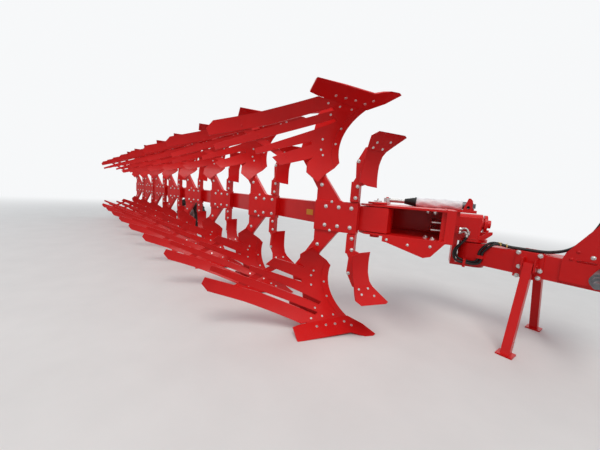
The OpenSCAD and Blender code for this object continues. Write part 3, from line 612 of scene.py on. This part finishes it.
RUN_FAR = [(0.097, -0.125, 0.600), (0.097, -0.125, 0.625), (0.097, -0.125, 0.640), (0.102, -0.125, 0.661),
           (0.114, -0.125, 0.685), (0.130, -0.123, 0.708), (0.149, -0.115, 0.729), (0.170, -0.101, 0.743),
           (0.196, -0.077, 0.744), (0.228, -0.050, 0.736), (0.270, -0.024, 0.725), (0.330, -0.004, 0.724),
           (0.420, 0.008, 0.723), (0.490, 0.014, 0.726), (0.550, 0.018, 0.741), (0.600, 0.021, 0.763),
           (0.645, 0.024, 0.801), (0.685, 0.027, 0.849), (0.715, 0.031, 0.905), (0.738, 0.034, 0.963),
           (0.756, 0.037, 1.022), (0.770, 0.039, 1.067), (0.783, 0.040, 1.098), (0.797, 0.040, 1.110),
           (0.810, 0.040, 1.110)]
HOSES = [("near", LOOP_NEAR, BRIDGE_NEAR, RUN_NEAR, HOUSING_PIPE_POINTS_NEAR),
         ("far", LOOP_FAR, BRIDGE_FAR, RUN_FAR, HOUSING_PIPE_POINTS_FAR)]


def hose_route(loop, bridge, run):
    travel_points = [travel() @ Vector(p) for p in loop + bridge]
    return travel_points + [drawbar_frame() @ Vector(p) for p in run]


def relaxed(route):
    """The same route with its bends evened out, as a stiff hose lies."""
    for _ in range(RELAX_ROUNDS):
        inner = [(route[i - 1] + route[i] * 2 + route[i + 1]) / 4 for i in range(2, len(route) - 2)]
        route = route[:2] + inner + route[-2:]
    return route


FERRULE_R = 0.0128
FERRULE_LENGTH = 0.030
FERRULE_SET_BACK = 0.004
FERRULE_CRIMPS = 4


def ferrule(bm, matrix):
    """A crimped hose end with its swivel nut, from the fitting's face along z."""
    profile = [(FERRULE_R * 1.05, -0.001), (FERRULE_R * 1.05, 0.003)]
    for i in range(FERRULE_CRIMPS):
        low = 0.005 + (FERRULE_LENGTH - 0.007) * i / FERRULE_CRIMPS
        profile += [(FERRULE_R, low), (FERRULE_R, low + 0.003), (FERRULE_R * 0.93, low + 0.0038)]
    profile += [(FERRULE_R, FERRULE_LENGTH - 0.001), (HOSE_R * 1.01, FERRULE_LENGTH)]
    nut = [(FERRULE_R * 1.28, 0.0), (FERRULE_R * 1.28, 0.007), (FERRULE_R * 1.1, 0.0085)]
    ring_profile(bm, matrix, profile, 16)
    ring_profile(bm, matrix, nut, HEX_SIDES)


def hoses():
    """Each hose from its crimped end on the housing's bent pipe to the one on the mast's."""
    steel_near, steel_mast = bmesh.new(), bmesh.new()
    for name, loop, bridge, run, pipe_points in HOSES:
        whole = smooth_route(hose_route(loop, bridge, run))
        first = pipe_points * ROUTE_STEPS
        last = len(whole) - 1 - MAST_PIPE_POINTS * ROUTE_STEPS
        route = relaxed(whole[first:last + 1])
        skin = bmesh.new()
        tube(skin, route, HOSE_R, 14)
        piece = from_bmesh("hose_" + name + "_run", skin, RUBBER, smooth_angle=60)
        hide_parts("hose_" + name, "hose_loop_" + name)
        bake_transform(piece)
        for bm, pipe, end, inward in ((steel_near, whole[:first + 2], route[0], route[2] - route[0]),
                                      (steel_mast, whole[last - 1:], route[-1], route[-3] - route[-1])):
            tube(bm, pipe, PIPE_R, 12)
            ferrule(bm, facing(end - inward.normalized() * FERRULE_SET_BACK, inward))
    for name, bm, body in (("housing_pipes", steel_near, "housing"), ("mast_pipes", steel_mast, "drawbar")):
        piece = from_bmesh(name, bm, PLATED)
        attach(piece, body)


# Fittings: ports that the pipes start from, and the elbows beside them on the housing. An elbow's
# heights count from its port's

PORT = [(0.0150, -0.001), (0.0150, 0.011), (0.0130, 0.013), (0.0105, 0.014), (0.0105, 0.020)]
MAST_PORT = [(0.0150, -0.001), (0.0150, 0.010), (0.0130, 0.012), (0.0105, 0.013)]
ELBOW = [(0.452, 0.672, 0.0), (0.452, 0.660, 0.0), (0.448, 0.652, -0.003), (0.440, 0.648, -0.008),
         (0.424, 0.648, -0.012)]
ELBOW_R = 0.0075
ELBOW_NUT = [(0.014, 0.0), (0.014, 0.008), (0.012, 0.010)]
ELBOW_END = (0.420, 0.648, -0.012)
ELBOW_END_NUT = [(0.015, -0.001), (0.015, 0.008), (0.012, 0.010)]


def fittings():
    bm = bmesh.new()
    for loop in (LOOP_NEAR, LOOP_FAR):
        ring_profile(bm, travel() @ facing(loop[0], FORWARD), PORT, HEX_SIDES)
    for loop in (LOOP_NEAR, LOOP_FAR):
        port_z = loop[0][2]
        elbow = [Vector((x, y, port_z + z)) for x, y, z in ELBOW]
        tube(bm, [travel() @ p for p in smooth_route(elbow)], ELBOW_R, 12)
        ring_profile(bm, travel() @ facing(elbow[0], (0, RIGHT, 0)), ELBOW_NUT, HEX_SIDES)
        x, y, z = ELBOW_END
        ring_profile(bm, travel() @ facing((x, y, port_z + z), FORWARD), ELBOW_END_NUT, HEX_SIDES)
    piece = from_bmesh("housing_fittings", bm, PLATED)
    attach(piece, "housing")
    bm = bmesh.new()
    for run in (RUN_NEAR, RUN_FAR):
        ring_profile(bm, drawbar_frame() @ facing(run[-1], BACKWARD), MAST_PORT, HEX_SIDES)
    piece = from_bmesh("mast_fittings", bm, PLATED)
    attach(piece, "drawbar")


# Cable ties round both hoses, each at a point of the near hose and one of the far hose

TIE_SPOTS = [((0.223, -0.0862, 0.7358), (0.206, -0.0690, 0.7415)),
             ((0.262, -0.0655, 0.7298), (0.246, -0.0385, 0.7318))]
TIED_AHEAD = Vector((0.86, 0.5, -0.05))
BAND_R = HOSE_R + 0.0004
BAND_WIDTH = 0.009
BAND_T = 0.0014
ARC_POINTS = 12
TAIL_ROOT = HOSE_R + 0.002
TAIL_RISE = 0.012
TAIL_REACH = 0.030
TAIL_R = 0.004
TAIL_SQUEEZE = (1.0, 0.35)


def band(bm, centre, ahead, across, half):
    """A flat tie pulled round two hoses that lie half the span on each side of the centre."""
    lift = ahead.cross(across)
    outline = []
    for j in range(ARC_POINTS):
        turn = math.pi * j / (ARC_POINTS - 1) - math.pi / 2
        outline.append((half + BAND_R * math.cos(turn), BAND_R * math.sin(turn)))
    outline += [(-u, -v) for u, v in outline]
    loops = []
    for shift, grow in ((-BAND_WIDTH / 2, 0.0), (-BAND_WIDTH / 2, BAND_T),
                        (BAND_WIDTH / 2, BAND_T), (BAND_WIDTH / 2, 0.0)):
        loop = []
        for u, v in outline:
            spread = Vector((max(min(u, half), -half), 0))
            away = (Vector((u, v)) - spread).normalized() * grow
            loop.append(bm.verts.new(centre + ahead * shift + across * (u + away.x) + lift * (v + away.y)))
        loops.append(loop)
    count = len(outline)
    for first, second in zip(loops, loops[1:] + loops[:1]):
        for j in range(count):
            bm.faces.new([first[j], first[(j + 1) % count], second[(j + 1) % count], second[j]])


def ties():
    bm = bmesh.new()
    turn = drawbar_frame().to_3x3()
    for near, far in TIE_SPOTS:
        near, far = Vector(near), Vector(far)
        across = (near - far).normalized()
        ahead = (TIED_AHEAD - across * TIED_AHEAD.dot(across)).normalized()
        centre = drawbar_frame() @ ((near + far) / 2)
        band(bm, centre, turn @ ahead, turn @ across, (near - far).length / 2)
        lift = turn @ ahead.cross(across)
        if lift.z < 0:
            lift = -lift
        root = centre + lift * TAIL_ROOT
        end = root + lift * TAIL_RISE + (turn @ across) * TAIL_REACH
        tube(bm, along_line(root, end, 3), TAIL_R, 8, squeeze=TAIL_SQUEEZE)
    piece = from_bmesh("hose_ties", bm, TIE)
    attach(piece, "drawbar")


# The line-up cylinder in its wrapping film, with a black boot at the rod's end

CYLINDER_Y = 0.5
CYLINDER_Z = 1.028
FILM_START_X = 0.134
FILM_END_X = 0.482
FILM_R = 0.0362
FILM_PINCH = 0.0016
FILM_RINGS = 48
BOOT = [(0.0205, 0.046), (0.0235, 0.048), (0.0225, 0.056), (0.0265, 0.062), (0.0250, 0.070), (0.0295, 0.077),
        (0.0280, 0.085), (0.0330, 0.092), (0.0320, 0.101), (0.0358, 0.108), (0.0362, 0.136), (0.0345, 0.139)]
BOOT_CLAMP_X = 0.125
BOOT_CLAMP = [(0.0370, 0.0), (0.0412, 0.001), (0.0412, 0.015), (0.0370, 0.016)]
BOOT_SIDES = 32

# The film's folds, as (height, number round the barrel, turn from ring to ring)

FOLDS = [(0.0016, 3, 0.21), (0.0011, 5, -0.34), (0.0005, 9, 0.9), (0.0010, 2, 0.62)]


def film_radius(i, turn):
    place = i / (FILM_RINGS - 1)
    swell = 0.0030 * math.sin(math.pi * place) + 0.002 * math.sin(place * 9.0)
    pinch = FILM_PINCH if i in (0, FILM_RINGS - 1) else 0.0
    folds = sum(height * math.sin(number * turn + i * drift) for height, number, drift in FOLDS)
    return FILM_R + swell - pinch + folds


def wrap():
    bm = bmesh.new()
    start = (FILM_START_X, CYLINDER_Y, CYLINDER_Z)
    end = (FILM_END_X, CYLINDER_Y, CYLINDER_Z)
    points = along_line(start, end, FILM_RINGS)
    tube(bm, [travel() @ p for p in points], film_radius, 40)
    piece = from_bmesh("wrapping_film", bm, FILM, smooth_angle=70)
    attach(piece, "align_barrel")
    bm = bmesh.new()
    ring_profile(bm, travel() @ facing((0, CYLINDER_Y, CYLINDER_Z), FORWARD), BOOT, BOOT_SIDES)
    clamp = travel() @ facing((BOOT_CLAMP_X, CYLINDER_Y, CYLINDER_Z), FORWARD)
    ring_profile(bm, clamp, BOOT_CLAMP, BOOT_SIDES, closed_top=False)
    piece = from_bmesh("cylinder_boot", bm, RUBBER, smooth_angle=50)
    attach(piece, "align_barrel")


# Nuts and bolts of the head, with the cap and grease nipple on the pin that the beam swings on

HEAD_INNER_BOTTOM = 0.784
HEAD_INNER_TOP = 0.976
HEAD_INNER_BOLTS = [(0.252, 0.061), (0.297, 0.002)]
HEAD_INNER_BOLT_SIZE = (0.014, 0.012)
HEAD_PLATE_Y = -0.055
HEAD_PLATE_BOLTS = [(0.008, 0.750), (0.150, 0.733), (0.290, 0.742)]
HEAD_PLATE_BOLT_SIZE = (0.0075, 0.005)
SHAFT_Y = 0.8
FLANGE_X = 0.420
FLANGE_BOLTS = 12
FLANGE_BOLT_SIZE = (0.009, 0.009)
FLANGE_REACH_Y = 0.118
FLANGE_REACH_Z = 0.085
FLANGE_TURN = 0.13
PIN_TOP = (-0.1, 0.06, 1.012)
PIN_CAP = [(0.030, 0.0), (0.030, 0.006), (0.026, 0.009)]
NIPPLE_FOOT = (-0.1, 0.06, 1.018)
NIPPLE = [(0.008, 0.0), (0.006, 0.012), (0.004, 0.018)]


def head_bolts():
    bm = bmesh.new()
    for x, y in HEAD_INNER_BOLTS:
        hex_bolt(bm, travel() @ facing((x, y, HEAD_INNER_BOTTOM), UP), *HEAD_INNER_BOLT_SIZE)
        hex_bolt(bm, travel() @ facing((x, y, HEAD_INNER_TOP), DOWN), *HEAD_INNER_BOLT_SIZE)
    for x, z in HEAD_PLATE_BOLTS:
        dome_bolt(bm, travel() @ on_side(x, z, HEAD_PLATE_Y), *HEAD_PLATE_BOLT_SIZE)
    for i in range(FLANGE_BOLTS):
        turn = 2 * math.pi * i / FLANGE_BOLTS + FLANGE_TURN
        spot = (FLANGE_X, SHAFT_Y + FLANGE_REACH_Y * math.cos(turn), MID_Z + FLANGE_REACH_Z * math.sin(turn))
        hex_bolt(bm, travel() @ facing(spot, FORWARD), *FLANGE_BOLT_SIZE)
    ring_profile(bm, travel() @ facing(PIN_TOP, UP), PIN_CAP, 24)
    ring_profile(bm, travel() @ facing(NIPPLE_FOOT, UP), NIPPLE, 12)
    piece = from_bmesh("head_bolts", bm, PLATED)
    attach(piece, "head")


# Nuts and bolts of the drawbar, its stand clamps and its mast, alike on both sides

DRAWBAR_SIDE = 0.11
CLAMP_FACE_Y = DRAWBAR_SIDE + 0.012
CLAMP_NUTS = [(0.357, 0.708), (0.371, 0.601), (0.368, 0.529), (0.486, 0.706), (0.495, 0.596), (0.491, 0.542)]
CLAMP_NUT_SIZE = (0.0125, 0.013)
MAST_FACE_Y = DRAWBAR_SIDE + 0.016
MAST_BOLTS = [(0.673, 0.777), (0.646, 0.722)]
MAST_BOLT_SIZE = (0.0095, 0.006)
MAST_PLATED_BOLT = (0.745, 0.753)
MAST_PLATED_BOLT_SIZE = (0.0105, 0.007)
MAST_DISC_AT = (0.793, 0.599)
MAST_DISC = [(0.026, -0.001), (0.026, 0.005), (0.022, 0.008), (0.009, 0.008), (0.009, 0.012)]


def drawbar_nuts():
    bm, painted = bmesh.new(), bmesh.new()
    for side in (RIGHT, LEFT):
        for x, z in CLAMP_NUTS:
            hex_bolt(bm, drawbar_frame() @ on_side(x, z, side * CLAMP_FACE_Y, side), *CLAMP_NUT_SIZE)
        for x, z in MAST_BOLTS:
            dome_bolt(painted, drawbar_frame() @ on_side(x, z, side * MAST_FACE_Y, side), *MAST_BOLT_SIZE)
        x, z = MAST_PLATED_BOLT
        dome_bolt(bm, drawbar_frame() @ on_side(x, z, side * MAST_FACE_Y, side), *MAST_PLATED_BOLT_SIZE)
        x, z = MAST_DISC_AT
        ring_profile(bm, drawbar_frame() @ on_side(x, z, side * MAST_FACE_Y, side), MAST_DISC, 24)
    for name, bm, material, slot in (("drawbar_nuts", bm, PLATED, "steel"),
                                     ("mast_bolts", painted, RED, "red")):
        piece = from_bmesh(name, bm, material)
        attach(piece, "drawbar")


# The blank plate on the beam's right face, with sloping edges

BEAM_FACE_Y = -0.128
PLATE_AT = (-0.704, 0.873)
PLATE_W = 0.082
PLATE_H = 0.048
PLATE_SUNK = 0.0006
PLATE_T = 0.0012
PLATE_TOP_W = 0.97
PLATE_TOP_H = 0.95


def blank_plate():
    bm = bmesh.new()
    x, z = PLATE_AT
    plate = beam_frame() @ on_side(x, z, BEAM_FACE_Y - PLATE_SUNK)
    corners = [(-PLATE_W / 2, -PLATE_H / 2), (PLATE_W / 2, -PLATE_H / 2),
               (PLATE_W / 2, PLATE_H / 2), (-PLATE_W / 2, PLATE_H / 2)]
    low = [bm.verts.new(plate @ Vector((u, v, 0.0))) for u, v in corners]
    top = [bm.verts.new(plate @ Vector((u * PLATE_TOP_W, v * PLATE_TOP_H, PLATE_T))) for u, v in corners]
    for i in range(4):
        bm.faces.new([low[i], low[(i + 1) % 4], top[(i + 1) % 4], top[i]])
    bm.faces.new(top)
    piece = from_bmesh("blank_plate", bm, LABEL)
    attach(piece, "plough_frame")


# Depth wheel: lugs on the tyre, nuts and cap on the rim. A lug is given by (from the middle plane,
# radius, height) at each of its rows, and its rows are set back by the sweep, an angle

HUB = Vector((-4.717, 2.450, 0.37))
LUG_COUNT = 26
LUG_ROWS = [(0.006, 0.368, 0.0145), (0.040, 0.3655, 0.0145), (0.080, 0.3600, 0.0145), (0.104, 0.345, 0.010),
            (0.118, 0.322, 0.0018)]
LUG_SWEEP = 0.030
LUG_HALF = 0.040
LUG_NARROWS = 0.003
LUG_TOP = 0.72
LUG_FOOT = -0.004
LUG_REACH = 0.375

HUB_NUTS = 6
HUB_NUT_CIRCLE = 0.085
HUB_NUT_Z = 0.002
HUB_NUT_SIZE = (0.011, 0.014)
HUB_BOLT_Z = -0.010
HUB_BOLT_SIZE = (0.011, 0.010)
HUB_CAP_Z = 0.0545
HUB_CAP = [(0.046, 0.0), (0.046, 0.010), (0.043, 0.020), (0.034, 0.027), (0.012, 0.030)]
VALVE_AT = (0.180, 0.0, 0.0)
VALVE = [(0.0045, 0.0), (0.0045, 0.020), (0.0032, 0.022), (0.0032, 0.030)]


def wheel_frame():
    """At the hub, z along the axle."""
    return travel() @ facing(HUB, (0, LEFT, 0))


def tyre_lugs():
    bm = bmesh.new()
    hub = wheel_frame()
    for i in range(LUG_COUNT * 2):
        side = 1 if i % 2 else -1
        base = 2 * math.pi * i / (LUG_COUNT * 2)
        rows = []
        for k, (across, radius, height) in enumerate(LUG_ROWS):
            sweep = base + LUG_SWEEP * k
            half = LUG_HALF - LUG_NARROWS * k
            row = []
            for turn, lift in ((-half, LUG_FOOT), (-half * LUG_TOP, height), (half * LUG_TOP, height),
                               (half, LUG_FOOT)):
                reach = min(radius + lift, LUG_REACH)
                row.append(bm.verts.new(hub @ Vector((reach * math.cos(sweep + turn),
                                                      reach * math.sin(sweep + turn), side * across))))
            rows.append(row)
        for low, high in zip(rows, rows[1:]):
            for j in range(3):
                quad = [low[j], low[j + 1], high[j + 1], high[j]]
                bm.faces.new(quad if side > 0 else quad[::-1])
        for row, flip in ((rows[0], side > 0), (rows[-1], side < 0)):
            bm.faces.new(row if flip else row[::-1])
    bmesh.ops.recalc_face_normals(bm, faces=bm.faces)
    piece = from_bmesh("tyre_lugs", bm, TYRE, smooth_angle=30)
    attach(piece, "wheel")


def wheel_nuts():
    bm = bmesh.new()
    hub = wheel_frame()
    for i in range(HUB_NUTS):
        turn = 2 * math.pi * i / HUB_NUTS
        centre = (HUB_NUT_CIRCLE * math.cos(turn), HUB_NUT_CIRCLE * math.sin(turn))
        hex_bolt(bm, hub @ facing((*centre, HUB_NUT_Z), UP), *HUB_NUT_SIZE)
        hex_bolt(bm, hub @ facing((*centre, HUB_BOLT_Z), DOWN), *HUB_BOLT_SIZE)
    ring_profile(bm, hub @ facing((0, 0, HUB_CAP_Z), UP), HUB_CAP, 28)
    piece = from_bmesh("wheel_nuts", bm, PLATED)
    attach(piece, "wheel")
    bm = bmesh.new()
    ring_profile(bm, hub @ facing(VALVE_AT, FORWARD), VALVE, 10)
    piece = from_bmesh("tyre_valve", bm, RUBBER)
    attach(piece, "wheel")


# Weld beads, laid in small steps along the joints of the plates

WELD_R = 0.0042
THIN_WELD_R = 0.003
WELD_STEP = 0.006
GUSSET_WELD_Z = 0.098
CHEEK_WELD_Z = 0.109
WHEEL_BRACKET_WELD_Z = 0.0895
HEAD_BOX_WELD_Z = 0.093
HEAD_FRONT_WELD_Z = 0.111


def bead(bm, matrix, start, end, radius=WELD_R):
    start, end = Vector(start), Vector(end)
    count = max(3, int((end - start).length / WELD_STEP))

    def girth(i, turn):
        return radius * (1.0 + 0.14 * math.sin(i * 2.1) + 0.07 * math.sin(i * 0.7 + 1.0))

    tube(bm, [matrix @ p for p in along_line(start, end, count)], girth, 8)


def body_welds(bm):
    for number in range(1, BODY_COUNT + 1):
        base = at_body(number)
        for z in (MID_Z - GUSSET_WELD_Z, MID_Z + GUSSET_WELD_Z):
            bead(bm, base, (-0.516, -0.056, z), (-0.244, -0.056, z))
        for z in (MID_Z - CHEEK_WELD_Z, MID_Z + CHEEK_WELD_Z):
            bead(bm, base, (-0.528, -0.108, z), (-0.275, -0.108, z), THIN_WELD_R)
    for z in (MID_Z - WHEEL_BRACKET_WELD_Z, MID_Z + WHEEL_BRACKET_WELD_Z):
        bead(bm, beam_frame(), (-4.80, 0.068, z), (-4.54, 0.068, z))


def head_welds(bm):
    for z in (MID_Z - HEAD_BOX_WELD_Z, MID_Z + HEAD_BOX_WELD_Z):
        bead(bm, travel(), (0.362, -0.028, z), (0.362, 0.515, z))
        bead(bm, travel(), (-0.05, 0.518, z), (0.360, 0.518, z))
    for z in (MID_Z - HEAD_FRONT_WELD_Z, MID_Z + HEAD_FRONT_WELD_Z):
        bead(bm, travel(), (0.363, -0.035, z), (0.363, 0.925, z))


def housing_welds(bm):
    for y in (0.701, 0.899):
        bead(bm, travel(), (0.503, y, 0.747), (0.640, y, 0.747))
    bead(bm, travel(), (0.500, 0.705, 0.747), (0.500, 0.895, 0.747))
    bead(bm, travel(), (0.640, 0.718, 0.749), (0.640, 0.884, 0.749))


def drawbar_welds(bm):
    for side in (RIGHT, LEFT):
        front, lower, clamp = (side * (DRAWBAR_SIDE + out) for out in (0.002, 0.003, 0.004))
        bead(bm, drawbar_frame(), (0.602, front, 0.565), (0.602, front, 0.708))
        bead(bm, drawbar_frame(), (0.606, lower, 0.559), (0.878, lower, 0.559))
        bead(bm, drawbar_frame(), (0.345, clamp, 0.720), (0.505, clamp, 0.720), THIN_WELD_R)


def welds():
    for name, lay, body in (("frame_welds", body_welds, "plough_frame"), ("head_welds", head_welds, "head"),
                            ("housing_welds", housing_welds, "housing"),
                            ("drawbar_welds", drawbar_welds, "drawbar")):
        bm = bmesh.new()
        lay(bm)
        piece = from_bmesh(name, bm, RED, smooth_angle=60)
        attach(piece, body)


# Stage

FLOOR_SEEN = (0.84, 0.83, 0.81)
FLOOR_SEEN_DARKER = tuple(c * 0.96 for c in FLOOR_SEEN)
FLOOR_BOUNCE = (0.42, 0.41, 0.40)
BACKDROP = (0.93, 0.94, 0.95)
FLOOR_R = 120.0
FLOOR_SIDES = 96
FADE_START = 4.5
FADE_END = 14.0


def make_stage():
    """A pale floor that melts into the backdrop far away and throws back less light than it shows."""
    material, nodes, links, shader = new_material("pale_floor", FLOOR_SEEN, 0.9, specular=0.1)
    place = nodes.new("ShaderNodeNewGeometry")
    grain = noise(nodes, links, place.outputs["Position"], scale=3.0, detail=6.0)
    seen = ramp(nodes, links, grain, [(0.3, FLOOR_SEEN), (0.7, FLOOR_SEEN_DARKER)])
    direct = seen_straight(nodes, links)
    links.new(mix_colour(nodes, links, direct, FLOOR_BOUNCE, seen), shader.inputs["Base Color"])
    far = nodes.new("ShaderNodeVectorMath")
    far.operation = "LENGTH"
    links.new(place.outputs["Position"], far.inputs[0])
    fade = map_range(nodes, links, far.outputs["Value"], 0.0, 1.0, FADE_START, FADE_END, steps="SMOOTHSTEP")
    veil = combine(nodes, links, "MULTIPLY", fade, direct)
    glow = nodes.new("ShaderNodeEmission")
    glow.inputs["Color"].default_value = (*BACKDROP, 1.0)
    mix_shaders(nodes, links, veil, shader.outputs["BSDF"], glow.outputs["Emission"], "Material Output")
    bm = bmesh.new()
    bmesh.ops.create_circle(bm, cap_ends=True, segments=FLOOR_SIDES, radius=FLOOR_R)
    floor = from_bmesh("floor", bm, material)


# Lights, as (name, place, point aimed at, size, power, colour), and the sky's colour and strength

LIGHTS = [("key", (4.5, -6.0, 9.0), (-0.5, 0.0, 0.8), 6.0, 430.0, (1.0, 0.97, 0.93)),
          ("fill", (-8.0, -5.0, 6.0), (-1.0, 0.0, 0.8), 7.0, 160.0, (0.95, 0.97, 1.0)),
          ("back", (1.0, 8.0, 7.0), (-0.5, 0.0, 0.8), 6.0, 180.0, (1.0, 1.0, 1.0))]
SKY = (0.86, 0.90, 0.96)
SKY_STRENGTH = 0.5


def area_light(name, at, aim, size, power, colour):
    data = bpy.data.lights.new(name, "AREA")
    data.shape = "DISK"
    data.size = size
    data.energy = power
    data.color = colour
    light = bpy.data.objects.new(name, data)
    light.matrix_world = facing(at, Vector(at) - Vector(aim))
    bpy.context.scene.collection.objects.link(light)


def make_light():
    world = bpy.data.worlds.new("studio")
    bpy.context.scene.world = world
    world.use_nodes = True
    nodes, links = world.node_tree.nodes, world.node_tree.links
    sky = nodes["Background"]
    sky.inputs["Color"].default_value = (*SKY, 1.0)
    sky.inputs["Strength"].default_value = SKY_STRENGTH
    seen = nodes.new("ShaderNodeBackground")
    seen.inputs["Color"].default_value = (*BACKDROP, 1.0)
    seen.inputs["Strength"].default_value = 1.0
    mix_shaders(nodes, links, seen_straight(nodes, links), sky.outputs["Background"],
                seen.outputs["Background"], "World Output")
    for light in LIGHTS:
        area_light(*light)


make_camera()
dress_nodes()
body_bolts()
back_nuts()
hoses()
fittings()
ties()
wrap()
head_bolts()
drawbar_nuts()
blank_plate()
tyre_lugs()
wheel_nuts()
welds()
make_stage()
make_light()
bpy.context.scene.view_settings.view_transform = "Standard"
